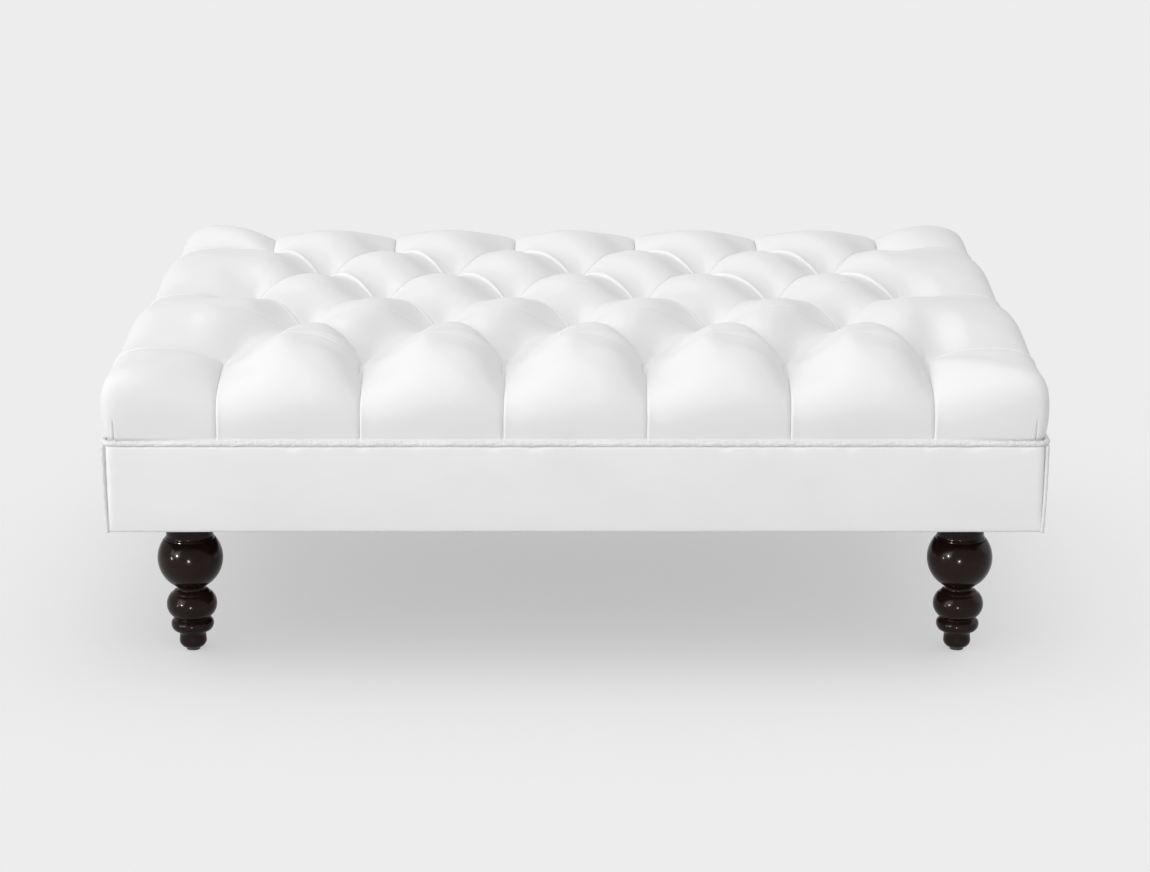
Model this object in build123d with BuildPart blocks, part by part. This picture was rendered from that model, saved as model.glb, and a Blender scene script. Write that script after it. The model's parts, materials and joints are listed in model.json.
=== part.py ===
from build123d import *
from math import hypot, sqrt
import os

os.makedirs("parts", exist_ok=True)

# Upholstered ottoman coffee table on four turned legs, in millimetres.
# The origin is on the floor under the middle, +X to the right, +Y to the back, +Z up.

# Overall sizes
overall_width = 1220.0  # over the welt, side to side
overall_depth = 890.0  # over the welt, front to back
leg_height = 192.0  # floor to the underside of the rails
overrun = 5.0  # how far a cut runs past what it cuts
soft_gap = 0.3  # between soft pieces that lie against each other

# Frame
rail_height = 104.0
rail_thickness = 22.0
frame_corner_radius = 6.0  # rounded over so that the cloth doesn't wear through
deck_thickness = 12.0
brace_height = 70.0
brace_thickness = 22.0
brace_spacing = 460.0  # between the middles of the two braces
block_size = 140.0
block_height = 45.0
block_chamfer = 50.0

# Cloth, wadding and piping
cloth_thickness = 1.5
padding_thickness = 6.0
border_crown = 5.0  # how far the border swells at its middle
border_end_crown = 1.5  # what is left of that swell at the corners
border_return = 30.0  # turned under the rail
welt_diameter = 8.0
welt_filler_diameter = 5.6
welt_proud = 6.0  # how far the welt stands out from the border
welt_lift = 2.0  # welt's middle above the deck
flange_thickness = 1.2
flange_drop = 20.0  # sewing flange below the border's top edge
corner_welt_diameter = 5.0
corner_tape_thickness = 1.2
tack_strip_thickness = 1.5
tack_strip_height = 14.0
dust_cover_thickness = 0.8
dust_cover_margin = 12.0  # dust cover's edge to the frame's edge
leg_cutout_gap = 3.0  # round each leg in the dust cover

# Tufts
tuft_columns = 6  # in the longer rows
tuft_rows = 5
tuft_pitch = 184.0
tuft_row_pitch = 160.5
tuft_height = 74.0  # tuft points above the bottom of the cushion's side
seam_rise = 30.0  # seam between two tufts, above the tufts, at its middle
pillow_rise = 42.0  # pillow's crown above the tufts
crease_width = 1.2  # pleat between two pillows
crease_depth = 3.0  # of the shallow crease across an edge pillow's crest
fullness_share = 0.83  # of a pillow's rise, halfway from seam to crest
pillow_root = 12.0  # how deep each pillow is rooted below the tufts
core_depth = 8.0  # bottom of the pleats below the tufts
core_inset = 12.0
core_shoulder = 31.0  # upright part of the core above the cushion's side bottom
core_taper = 50.0  # degrees
batting_thickness = 16.0
side_batting = 22.0
foam_chamfer = 15.0
cushion_setback = 5.0  # cushion's side behind the welt's outer face
pit_radius = 4.0
pit_depth = 4.0  # below the bottom of the pleats
dart_height = 27.0
dart_inset = 14.0
dart_width = 1.2
dart_depth = 3.0
corner_crest_share = 0.65  # of the run to the outer tufts, from the seam to the corner's full shape
corner_rise_share = 1.2  # corner pillow's inner height, of the tufts' height

# Twines
twine_radius = 1.2
knot_radius = 3.0
foam_hole_radius = 8.0
deck_hole_radius = 5.0
tuft_washer_radius = 12.0
tuft_washer_thickness = 2.0

# Legs
leg_inset = 100.0  # leg's middle from the welt's outer faces
collar_radius = 31.0
collar_base_radius = 34.0
ball_radius = 43.3
ball_level = 128.0
neck_radius = 18.7
neck_length = 4.0
bead_radius = 22.5
bead_height = 6.0
small_ball_radius = 33.3
small_ball_level = 61.5
small_ball_top_radius = 27.0
ring_neck_radius = 24.0
ring_neck_level = 45.0
ring_radius = 27.8
ring_level = 35.5
ring_step_radius = 23.5
ring_step_level = 28.0
ankle_radius = 17.6
ankle_level = 20.0
foot_radius = 18.2
foot_level = 12.5
sole_radius = 10.0
groove_depth = 1.2
glide_radius = 9.0
glide_thickness = 3.0
glide_pin_radius = 1.5
glide_pin_length = 12.0

# Leg fastening
bolt_radius = 4.0
bolt_in_leg = 40.0
bolt_clearance = 0.3
tee_nut_radius = 5.5
tee_nut_flange_radius = 11.0
tee_nut_flange_thickness = 2.0
tee_nut_depth = 12.0

# Wood screws and staples
screw_clearance = 0.1
frame_screw_radius = 2.5
frame_screw_head_radius = 4.6
frame_screw_length = 60.0
deck_screw_radius = 2.0
deck_screw_head_radius = 3.8
deck_screw_length = 35.0
screw_edge_share = 0.27  # of the rail's height, from each edge
deck_screw_width_shares = (-0.8, -0.5, 0, 0.5, 0.8)  # of the half width, along the front and back rails
deck_screw_depth_shares = (-0.5, 0, 0.5)  # of the half depth, along the side rails
staple_width = 11.0
staple_wire = 0.9
staple_leg = 9.0
staples_along_width = 8
staples_along_depth = 6

# Levels and half sizes that follow
rail_bottom = leg_height
rail_top = rail_bottom + rail_height
deck_top = rail_top + deck_thickness
border_thickness = padding_thickness + cloth_thickness
frame_width = overall_width - 2 * (border_thickness + welt_proud)
frame_depth = overall_depth - 2 * (border_thickness + welt_proud)
frame_half_x = frame_width / 2
frame_half_y = frame_depth / 2
welt_radius = welt_diameter / 2
welt_level = deck_top + welt_lift
welt_offset = border_thickness + welt_proud - welt_radius
border_top = welt_level - welt_radius
cushion_bottom = welt_level + welt_radius
cushion_half_x = overall_width / 2 - cushion_setback
cushion_half_y = overall_depth / 2 - cushion_setback
tuft_level = cushion_bottom + tuft_height
core_top = tuft_level - core_depth
foam_top = core_top - batting_thickness
leg_x = overall_width / 2 - leg_inset
leg_y = overall_depth / 2 - leg_inset
half_crease = crease_width / 2
outer_row = tuft_row_pitch * (tuft_rows - 1) / 2
outer_column = tuft_pitch * (tuft_columns - 1) / 2
front_run = cushion_half_y - outer_row  # tuft to the cushion's front face
side_run = cushion_half_x - outer_column

corner_signs = {"front_left": (-1, -1), "front_right": (1, -1), "back_left": (-1, 1), "back_right": (1, 1)}


def finish(part, label):
    part.label = label
    export_step(part, f"parts/{label}.step")


def frame_outline(offset, mode=Mode.ADD):
    # the frame's plan grown by an offset, with its rounded corners grown alike
    return RectangleRounded(
        frame_width + 2 * offset, frame_depth + 2 * offset, frame_corner_radius + offset, mode=mode
    )


def row_places(row):
    # x of each tuft in a row: odd rows have one tuft less and sit half a pitch over
    count = tuft_columns - row % 2
    return [(place - (count - 1) / 2) * tuft_pitch for place in range(count)]


def row_level(row):
    return row * tuft_row_pitch - outer_row


tuft_points = [(x, row_level(row)) for row in range(tuft_rows) for x in row_places(row)]


# Fastener shapes: each stands with its head on a plane and points down that plane's normal
def screw_group(planes, shank_radius, head_radius, length, clearance):
    head_height = head_radius - shank_radius
    with BuildPart() as group:
        with Locations(*planes):
            Cylinder(shank_radius + clearance, length + clearance, align=(Align.CENTER, Align.CENTER, Align.MAX))
            Cone(
                shank_radius + clearance,
                head_radius + clearance,
                head_height,
                align=(Align.CENTER, Align.CENTER, Align.MAX),
            )
    return group.part


screw_levels = [rail_bottom + rail_height * share for share in (screw_edge_share, 1 - screw_edge_share)]
rail_screw_planes = [
    Plane(origin=(side * (frame_half_x - rail_thickness / 2), end * frame_half_y, level), z_dir=(0, end, 0))
    for side in (-1, 1)
    for end in (-1, 1)
    for level in screw_levels
]
brace_levels = [rail_top - brace_height * share for share in (screw_edge_share, 1 - screw_edge_share)]
brace_screw_planes = [
    Plane(origin=(side * brace_spacing / 2, end * frame_half_y, level), z_dir=(0, end, 0))
    for side in (-1, 1)
    for end in (-1, 1)
    for level in brace_levels
]
block_screw_level = rail_bottom + block_height / 2
block_screw_inset = rail_thickness + block_size * (1 - screw_edge_share)
block_screw_planes = [
    Plane(origin=(side * (frame_half_x - block_screw_inset), end * frame_half_y, block_screw_level), z_dir=(0, end, 0))
    for side, end in corner_signs.values()
] + [
    Plane(origin=(side * frame_half_x, end * (frame_half_y - block_screw_inset), block_screw_level), z_dir=(side, 0, 0))
    for side, end in corner_signs.values()
]
rail_middle_x = frame_half_x - rail_thickness / 2
rail_middle_y = frame_half_y - rail_thickness / 2
deck_screw_planes = [
    Plane(origin=(x_share * rail_middle_x, end * rail_middle_y, deck_top))
    for x_share in deck_screw_width_shares
    for end in (-1, 1)
] + [
    Plane(origin=(side * rail_middle_x, y_share * rail_middle_y, deck_top))
    for y_share in deck_screw_depth_shares
    for side in (-1, 1)
]


def frame_screws(planes, clearance):
    return screw_group(planes, frame_screw_radius, frame_screw_head_radius, frame_screw_length, clearance)


def deck_screws_at(planes, clearance):
    return screw_group(planes, deck_screw_radius, deck_screw_head_radius, deck_screw_length, clearance)


def staple_group(clearance):
    # wire staples under the dust cover, along all four rails; a clearance makes the slots for them
    wire = staple_wire + 2 * clearance
    level = rail_bottom - cloth_thickness - dust_cover_thickness
    inset = dust_cover_margin + staple_width / 2
    with BuildPart() as group:
        for count, run, far, turn in (
            (staples_along_width, 2 * leg_x - 2 * leg_inset, frame_half_y - inset, 0),
            (staples_along_depth, 2 * leg_y - 2 * leg_inset, frame_half_x - inset, 90),
        ):
            for side in (-1, 1):
                for place in range(count):
                    along = (place / (count - 1) - 0.5) * run
                    middle = (along, side * far, level) if turn == 0 else (side * far, along, level)
                    with Locations(Plane(origin=middle).rotated((0, 0, turn))):
                        Box(staple_width, wire, staple_wire, align=(Align.CENTER, Align.CENTER, Align.MAX))
                        with GridLocations(staple_width - staple_wire, 0, 2, 1):
                            Box(wire, wire, staple_leg + clearance, align=(Align.CENTER, Align.CENTER, Align.MIN))
    return group.part


frame_screw_holes = frame_screws(rail_screw_planes + brace_screw_planes + block_screw_planes, screw_clearance)
deck_screw_holes = deck_screws_at(deck_screw_planes, screw_clearance)
staple_slots = staple_group(screw_clearance)


# Frame rails: front and back run the full width, the side rails butt between them
for name, end in (("rail_front", -1), ("rail_back", 1)):
    with BuildPart() as rail:
        with BuildSketch(Plane.XY.offset(rail_bottom)):
            frame_outline(0)
            with Locations((0, -end * rail_thickness)):
                Rectangle(frame_width + overrun, frame_depth, mode=Mode.SUBTRACT)
        extrude(amount=rail_height)
        add(frame_screw_holes, mode=Mode.SUBTRACT)
        add(deck_screw_holes, mode=Mode.SUBTRACT)
        add(staple_slots, mode=Mode.SUBTRACT)
    finish(rail.part, name)

for name, side in (("rail_left", -1), ("rail_right", 1)):
    with BuildPart() as rail:
        with BuildSketch(Plane.XY.offset(rail_bottom)):
            with Locations((side * rail_middle_x, 0)):
                Rectangle(rail_thickness, frame_depth - 2 * rail_thickness)
        extrude(amount=rail_height)
        add(frame_screw_holes, mode=Mode.SUBTRACT)
        add(deck_screw_holes, mode=Mode.SUBTRACT)
        add(staple_slots, mode=Mode.SUBTRACT)
    finish(rail.part, name)

# Corner blocks, each bored for a leg's bolt and let in for its nut
for corner, (side, end) in corner_signs.items():
    block_x = frame_half_x - rail_thickness - block_size / 2
    block_y = frame_half_y - rail_thickness - block_size / 2
    with BuildPart() as block:
        with BuildSketch(Plane.XY.offset(rail_bottom)):
            with Locations((side * block_x, end * block_y)):
                Rectangle(block_size, block_size)
        extrude(amount=block_height)
        inner_edge = block.edges().filter_by(Axis.Z).sort_by(Axis((0, 0, 0), (side, end, 0)))[0]
        chamfer(inner_edge, block_chamfer)
        with Locations((side * leg_x, end * leg_y, rail_bottom + block_height)):
            Cylinder(bolt_radius + bolt_clearance, 2 * block_height + overrun, mode=Mode.SUBTRACT)
            Cylinder(
                tee_nut_radius,
                tee_nut_depth,
                align=(Align.CENTER, Align.CENTER, Align.MAX),
                mode=Mode.SUBTRACT,
            )
        add(frame_screw_holes, mode=Mode.SUBTRACT)
    finish(block.part, f"corner_block_{corner}")

for name, side in (("cross_brace_left", -1), ("cross_brace_right", 1)):
    with BuildPart() as brace:
        with BuildSketch(Plane.XY.offset(rail_top)):
            with Locations((side * brace_spacing / 2, 0)):
                Rectangle(brace_thickness, frame_depth - 2 * rail_thickness)
        extrude(amount=-brace_height)
        add(frame_screw_holes, mode=Mode.SUBTRACT)
    finish(brace.part, name)

with BuildPart() as deck_panel:
    with BuildSketch(Plane.XY.offset(rail_top)):
        frame_outline(0)
        with Locations(*tuft_points):
            Circle(deck_hole_radius, mode=Mode.SUBTRACT)
    extrude(amount=deck_thickness)
    add(deck_screw_holes, mode=Mode.SUBTRACT)
finish(deck_panel.part, "deck_panel")

finish(frame_screws(rail_screw_planes, 0), "rail_screws")
finish(frame_screws(brace_screw_planes, 0), "brace_screws")
finish(frame_screws(block_screw_planes, 0), "corner_block_screws")
finish(deck_screws_at(deck_screw_planes, 0), "deck_screws")


# Tufted cushion cover: a core with one pillow lofted over it for each field between the tufts
root_level = tuft_height - pillow_root

# Outlines across the cushion's edge, from the bottom of its side up and in to the tufts, as shares of
# the run to the outer tufts and of the tufts' height: bottom, swell, shoulder start, shoulder,
# shoulder end and crown. The outer tuft or the pillow's crest ends them.
front_seam_shares = [(0, 0), (-0.005, 0.3), (0.075, 0.61), (0.21, 0.78), (0.455, 0.89), (0.755, 0.955)]
side_seam_shares = [(0, 0), (-0.005, 0.43), (0.05, 0.89), (0.135, 1.08), (0.31, 1.215), (0.59, 1.26)]
back_seam_shares = [(0, 0), (-0.005, 0.43), (0.06, 0.84), (0.145, 1.01), (0.33, 1.135), (0.59, 1.2)]
front_pillow_shares = [(0, 0), (-0.025, 0.46), (0.07, 0.92), (0.185, 1.16), (0.44, 1.38), (0.715, 1.5)]
side_pillow_shares = [(0, 0), (-0.02, 0.51), (0.04, 0.97), (0.12, 1.22), (0.29, 1.405), (0.585, 1.53)]
corner_pillow_shares = [(0, 0), (-0.015, 0.43), (0.06, 0.86), (0.16, 1.06), (0.35, 1.19), (0.65, 1.24)]


def edge_section(plane, shares, run, end_height, foot):
    # closed section of an edge pillow: its outline outside, and a straight way back to its foot's inset
    points = [Vector(run * across, tuft_height * up) for across, up in shares] + [Vector(run, end_height)]
    with BuildSketch(plane) as section:
        with BuildLine():
            for start in (0, 2, 4):
                ThreePointArc(*points[start : start + 3])
            Polyline(points[6], (run, root_level), (foot, 0), points[0])
        make_face()
    return section.sketch


def blended_shares(first, second, share):
    # outline that lies a share of the way from one outline to another
    return [(ax + (bx - ax) * share, az + (bz - az) * share) for (ax, az), (bx, bz) in zip(first, second)]


def crease_section(plane, half_span):
    # what joins the two halves of an edge pillow under the shallow crease across its crest
    reach = half_span - pit_radius
    low = tuft_height - crease_depth
    with BuildSketch(plane) as section:
        with BuildLine():
            ThreePointArc((-reach, low), (0, low + pillow_rise), (reach, low))
            Polyline((reach, low), (reach, root_level), (-reach, root_level), (-reach, low))
        make_face()
    return section.sketch


def diamond_section(plane, length, end_rise, middle_rise):
    # section of a pillow between two tufts or two seams: an arc over upright ends
    gap = half_crease * 2 * length / hypot(tuft_pitch, tuft_row_pitch)
    with BuildSketch(plane) as section:
        with BuildLine():
            ThreePointArc(
                (gap, tuft_height + end_rise),
                (length / 2, tuft_height + middle_rise),
                (length - gap, tuft_height + end_rise),
            )
            Polyline(
                (length - gap, tuft_height + end_rise),
                (length - gap, root_level),
                (gap, root_level),
                (gap, tuft_height + end_rise),
            )
        make_face()
    return section.sketch


def diamond_sections(x, y):
    # three sections across a diamond, along the seam that runs to the back and the right
    front_tuft = Vector(x, y - tuft_row_pitch, cushion_bottom)
    along = Vector(tuft_pitch / 2, tuft_row_pitch, 0)
    across = Vector(-tuft_pitch / 2, tuft_row_pitch, 0)
    length = along.length
    inner_share = half_crease / length
    sections = []
    for share, end_rise, middle_rise in (
        (inner_share, 0, seam_rise),
        (1 / 2, seam_rise, pillow_rise),
        (1 - inner_share, 0, seam_rise),
    ):
        plane = Plane(origin=front_tuft + across * share, x_dir=along, z_dir=along.cross(Vector(0, 0, 1)))
        sections.append(diamond_section(plane, length, end_rise, middle_rise))
    return sections


def edge_plane(x, y, inwards):
    # upright plane across the edge of the cushion, its x axis pointing inwards and its y axis up
    return Plane(origin=(x, y, cushion_bottom), x_dir=inwards, z_dir=Vector(*inwards).cross(Vector(0, 0, 1)))


def edge_pillow_sections(middle, half_span, along, inwards, face_level, run, seam_shares, pillow_shares):
    # pillow between two seams that run out to the edge: seam, full side, crest, full side, seam
    full_shares = blended_shares(seam_shares, pillow_shares, fullness_share)
    reach = half_span - half_crease
    sections = []
    for place, shares, rise_share in (
        (middle - reach, seam_shares, 0),
        (middle - reach / 2, full_shares, fullness_share),
        (middle, pillow_shares, 1),
        (middle + reach / 2, full_shares, fullness_share),
        (middle + reach, seam_shares, 0),
    ):
        x, y = (place, face_level) if along == "x" else (face_level, place)
        height = tuft_height + rise_share * pillow_rise
        foot = core_inset + core_shoulder
        sections.append(edge_section(edge_plane(x, y, inwards), shares, run - half_crease, height, foot))
    return sections


def corner_pillow_sections(place, out, along, inwards, face_level, run, seam_shares):
    # from the seam beside the corner's tuft, out past the corner, whose other face cuts it off
    sections = []
    for outward, shares, height in (
        (half_crease, seam_shares, tuft_height),
        (corner_crest_share * run, corner_pillow_shares, corner_rise_share * tuft_height),
        (2 * corner_crest_share * run, corner_pillow_shares, corner_rise_share * tuft_height),
    ):
        level = place + out * outward
        x, y = (level, face_level) if along == "x" else (face_level, level)
        sections.append(edge_section(edge_plane(x, y, inwards), shares, run, height, run))
    return sections


# Foam slab, with a plug cut out at each tuft
with BuildPart() as foam_block:
    with BuildSketch(Plane.XY.offset(deck_top)):
        Rectangle(2 * (cushion_half_x - side_batting), 2 * (cushion_half_y - side_batting))
    extrude(amount=foam_top - deck_top)
    chamfer(foam_block.faces().sort_by(Axis.Z)[-1].edges(), foam_chamfer)

with BuildPart() as foam_core:
    add(foam_block.part)
    with BuildSketch(Plane.XY.offset(deck_top)):
        with Locations(*tuft_points):
            Circle(foam_hole_radius)
    extrude(amount=foam_top - deck_top, mode=Mode.SUBTRACT)
finish(foam_core.part, "foam_core")

with BuildPart() as tufted_cover:
    # core: upright sides, then drawn in to the level under the tufts
    with BuildSketch(Plane.XY.offset(deck_top)):
        frame_outline(welt_offset - welt_radius - soft_gap)
    extrude(amount=cushion_bottom - deck_top)
    with BuildSketch(Plane.XY.offset(cushion_bottom)):
        Rectangle(2 * (cushion_half_x - core_inset), 2 * (cushion_half_y - core_inset))
    extrude(amount=core_shoulder)
    with BuildSketch(Plane.XY.offset(cushion_bottom + core_shoulder)):
        Rectangle(2 * (cushion_half_x - core_inset), 2 * (cushion_half_y - core_inset))
    extrude(amount=core_top - cushion_bottom - core_shoulder, taper=core_taper)

    # diamonds between four tufts
    for row in range(1, tuft_rows - 1):
        for x in row_places(row + 1):
            if abs(x) < outer_column - tuft_pitch * (row % 2) / 2:
                loft(sections=diamond_sections(x, row_level(row)))

    # front and back pillows, each with half a diamond behind the crease over its crest
    for end, shares in ((-1, front_seam_shares), (1, back_seam_shares)):
        pillow_shares = front_pillow_shares if end < 0 else side_pillow_shares
        inwards = Vector(0, -end, 0)
        crease_plane = Plane(origin=(0, end * (outer_row - half_crease), 0), z_dir=inwards)
        for x in row_places(1):
            loft(
                sections=edge_pillow_sections(
                    x, tuft_pitch / 2, "x", inwards, end * cushion_half_y, front_run, shares, pillow_shares
                )
            )
            whole = loft(sections=diamond_sections(x, end * outer_row), mode=Mode.PRIVATE)
            split(whole, bisect_by=crease_plane, keep=Keep.TOP, mode=Mode.ADD)
            crest = Plane(origin=(x, end * outer_row, cushion_bottom), x_dir=(1, 0, 0), z_dir=(0, -1, 0))
            extrude(crease_section(crest, tuft_pitch / 2), amount=crease_width, both=True)

    # side pillows
    for side in (-1, 1):
        inwards = Vector(-side, 0, 0)
        crease_plane = Plane(origin=(side * (outer_column - half_crease), 0, 0), z_dir=inwards)
        for row in range(1, tuft_rows, 2):
            y = row_level(row)
            loft(
                sections=edge_pillow_sections(
                    y,
                    tuft_row_pitch,
                    "y",
                    inwards,
                    side * cushion_half_x,
                    side_run,
                    side_seam_shares,
                    side_pillow_shares,
                )
            )
            whole = loft(sections=diamond_sections(side * outer_column, y), mode=Mode.PRIVATE)
            split(whole, bisect_by=crease_plane, keep=Keep.TOP, mode=Mode.ADD)
            crest = Plane(origin=(side * outer_column, y, cushion_bottom), x_dir=(0, 1, 0), z_dir=(1, 0, 0))
            extrude(crease_section(crest, tuft_row_pitch), amount=crease_width, both=True)

    # corner pillows: what the run along the front or back and the run along the side have in common
    for side, end in corner_signs.values():
        end_shares = front_seam_shares if end < 0 else back_seam_shares
        end_face = end * cushion_half_y
        side_face = side * cushion_half_x
        along_end = loft(
            sections=corner_pillow_sections(
                side * outer_column, side, "x", (0, -end, 0), end_face, front_run - half_crease, end_shares
            ),
            mode=Mode.PRIVATE,
        )
        along_side = loft(
            sections=corner_pillow_sections(
                end * outer_row, end, "y", (-side, 0, 0), side_face, side_run - half_crease, side_seam_shares
            ),
            mode=Mode.PRIVATE,
        )
        add(along_end & along_side)

    # room for the foam, and the skirt that is stapled over the deck's edge
    add(foam_block.part, mode=Mode.SUBTRACT)
    with BuildSketch(Plane.XY.offset(border_top - flange_drop)):
        frame_outline(cloth_thickness)
        frame_outline(0, mode=Mode.SUBTRACT)
    extrude(amount=deck_top + soft_gap - border_top + flange_drop)

    # a pit at each tuft, and the hole that its twine comes through
    with BuildSketch(Plane.XY.offset(core_top - pit_depth)):
        with Locations(*tuft_points):
            Circle(pit_radius)
    extrude(amount=pillow_rise, mode=Mode.SUBTRACT)
    with BuildSketch(Plane.XY.offset(foam_top - overrun)):
        with Locations(*tuft_points):
            Circle(twine_radius)
    extrude(amount=overrun + batting_thickness, mode=Mode.SUBTRACT)

    # short darts beside the corners
    for side, end in corner_signs.values():
        dart_place = (side * (cushion_half_x - dart_inset), end * (cushion_half_y - dart_depth), cushion_bottom)
        with BuildSketch(Plane(origin=dart_place, x_dir=(1, 0, 0), z_dir=(0, end, 0))):
            Rectangle(dart_width, 2 * dart_height)
        extrude(amount=dart_depth + overrun, mode=Mode.SUBTRACT)
finish(tufted_cover.part, "tufted_cover")


# Twines from each tuft down to a washer under the deck, knotted at both ends
with BuildPart() as tuft_ties:
    tie_top = core_top - pit_depth + knot_radius
    tie_bottom = rail_top - tuft_washer_thickness - knot_radius
    with BuildSketch(Plane.XY.offset(tie_bottom)):
        with Locations(*tuft_points):
            Circle(twine_radius)
    extrude(amount=tie_top - tie_bottom)
    for level in (tie_top, tie_bottom):
        with Locations(*[(x, y, level) for x, y in tuft_points]):
            Sphere(knot_radius)
finish(tuft_ties.part, "tuft_ties")

with BuildPart() as tuft_washers:
    with BuildSketch(Plane.XY.offset(rail_top)):
        with Locations(*tuft_points):
            Circle(tuft_washer_radius)
            Circle(twine_radius, mode=Mode.SUBTRACT)
    extrude(amount=-tuft_washer_thickness)
finish(tuft_washers.part, "tuft_washers")


# Piping round the edge, with the flange by which it is stapled behind the border
with BuildSketch(Plane.XY.offset(welt_level)) as welt_run:
    frame_outline(welt_offset)
welt_path = welt_run.sketch.faces()[0].outer_wire()
welt_start = welt_path.position_at(0)
welt_way = welt_path.tangent_at(0)
welt_out = welt_way.cross(Vector(0, 0, 1))
if welt_out.dot(welt_start) < 0:
    welt_out = -welt_out
welt_plane = Plane(origin=welt_start, x_dir=welt_out, z_dir=welt_out.cross(Vector(0, 0, 1)))

with BuildPart() as welt_cover:
    with BuildSketch(welt_plane):
        Circle(welt_radius)
        with Locations((cloth_thickness - welt_offset, -welt_radius - flange_drop)):
            Rectangle(flange_thickness, flange_drop + flange_thickness, align=(Align.MIN, Align.MIN))
        with Locations((cloth_thickness - welt_offset, -welt_radius)):
            Rectangle(
                welt_offset - cloth_thickness - welt_filler_diameter / 4,
                flange_thickness,
                align=(Align.MIN, Align.MIN),
            )
        Circle(welt_filler_diameter / 2, mode=Mode.SUBTRACT)
    sweep(path=welt_path)
finish(welt_cover.part, "welt_cover")

with BuildPart() as welt_filler:
    with BuildSketch(welt_plane):
        Circle(welt_filler_diameter / 2)
    sweep(path=welt_path)
finish(welt_filler.part, "welt_filler")


# Border: one panel of wadding and one of cloth on each side, crowned between bottom and welt
border_bottom = rail_bottom - cloth_thickness
corner_welt_radius = corner_welt_diameter / 2
padding_top = border_top - flange_drop - soft_gap


def border_plane(along, direction):
    # upright plane across the border, its x axis pointing outwards from the frame's face
    if direction[0] == 0:
        origin = (along, direction[1] * frame_half_y, 0)
    else:
        origin = (direction[0] * frame_half_x, along, 0)
    return Plane(origin=origin, x_dir=direction, z_dir=Vector(*direction).cross(Vector(0, 0, 1)))


def crowned_face(plane, inner, outer, crown, low, high, inner_crown):
    # band between two upright lines or arcs across the border, bulging by their crowns
    middle = (low + high) / 2
    with BuildSketch(plane) as section:
        with BuildLine():
            ThreePointArc((outer, low), (outer + crown, middle), (outer, high))
            Line((outer, high), (inner, high))
            if inner_crown > 0:
                ThreePointArc((inner, high), (inner + inner_crown, middle), (inner, low))
            else:
                Line((inner, high), (inner, low))
            Line((inner, low), (outer, low))
        make_face()
    return section.sketch


border_sides = {"front": (0, -1, 0), "back": (0, 1, 0), "left": (-1, 0, 0), "right": (1, 0, 0)}
for name, direction in border_sides.items():
    facing_end = direction[0] == 0
    frame_half = frame_half_x if facing_end else frame_half_y
    cover_half = frame_half + padding_thickness - corner_welt_radius
    padding_half = frame_half - corner_tape_thickness
    return_half = cover_half if facing_end else frame_half - border_return

    with BuildPart() as border_padding:
        loft(
            sections=[
                crowned_face(
                    border_plane(place, direction),
                    0,
                    padding_thickness - soft_gap,
                    crown,
                    rail_bottom,
                    padding_top,
                    0,
                )
                for place, crown in (
                    (-padding_half, border_end_crown),
                    (0, border_crown - border_end_crown),
                    (padding_half, border_end_crown),
                )
            ]
        )
    finish(border_padding.part, f"border_padding_{name}")

    with BuildPart() as border_cover:
        loft(
            sections=[
                crowned_face(
                    border_plane(place, direction),
                    padding_thickness,
                    border_thickness,
                    crown,
                    border_bottom,
                    border_top,
                    crown,
                )
                for place, crown in (
                    (-cover_half, border_end_crown),
                    (0, border_crown),
                    (cover_half, border_end_crown),
                )
            ]
        )
        with BuildSketch(border_plane(0, direction)):
            with Locations((-border_return, border_bottom)):
                Rectangle(border_return + border_thickness, cloth_thickness, align=(Align.MIN, Align.MIN))
        extrude(amount=return_half, both=True)
        add(staple_slots, mode=Mode.SUBTRACT)
    finish(border_cover.part, f"border_cover_{name}")

# Card strips that pull the border's top edge straight under the piping
with BuildPart() as tack_strips:
    tack_inner = cloth_thickness + flange_thickness
    with BuildSketch(Plane.XY.offset(border_top - tack_strip_height)):
        straight_x = 2 * (frame_half_x - frame_corner_radius)
        straight_y = 2 * (frame_half_y - frame_corner_radius)
        tack_offset = tack_inner + tack_strip_thickness / 2
        with GridLocations(0, 2 * (frame_half_y + tack_offset), 1, 2):
            Rectangle(straight_x, tack_strip_thickness)
        with GridLocations(2 * (frame_half_x + tack_offset), 0, 2, 1):
            Rectangle(tack_strip_thickness, straight_y)
    extrude(amount=tack_strip_height)
finish(tack_strips.part, "tack_strips")

# Upright piping at the corners of the border, each with its tape between the two paddings
with BuildPart() as corner_welts:
    corner_x = frame_half_x + padding_thickness
    corner_y = frame_half_y + padding_thickness
    tape_length = (padding_thickness + frame_corner_radius) * sqrt(2) - frame_corner_radius
    for side, end in corner_signs.values():
        with BuildSketch(Plane.XY.offset(border_bottom)):
            with Locations((side * corner_x, end * corner_y)):
                Circle(corner_welt_radius)
        extrude(amount=border_top - border_bottom)
        tape_plane = Plane(origin=(side * corner_x, end * corner_y, rail_bottom), x_dir=(-side, -end, 0))
        with BuildSketch(tape_plane):
            Rectangle(tape_length, corner_tape_thickness, align=(Align.MIN, Align.CENTER))
        extrude(amount=padding_top - rail_bottom)
finish(corner_welts.part, "corner_welts")

# Dust cover under the frame, cut out round the legs, and its staples
with BuildPart() as dust_cover:
    with BuildSketch(Plane.XY.offset(border_bottom)):
        Rectangle(frame_width - 2 * dust_cover_margin, frame_depth - 2 * dust_cover_margin)
        with GridLocations(2 * leg_x, 2 * leg_y, 2, 2):
            Circle(collar_radius + leg_cutout_gap, mode=Mode.SUBTRACT)
    extrude(amount=-dust_cover_thickness)
    add(staple_slots, mode=Mode.SUBTRACT)
finish(dust_cover.part, "dust_cover")
finish(staple_group(0), "dust_cover_staples")


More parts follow.
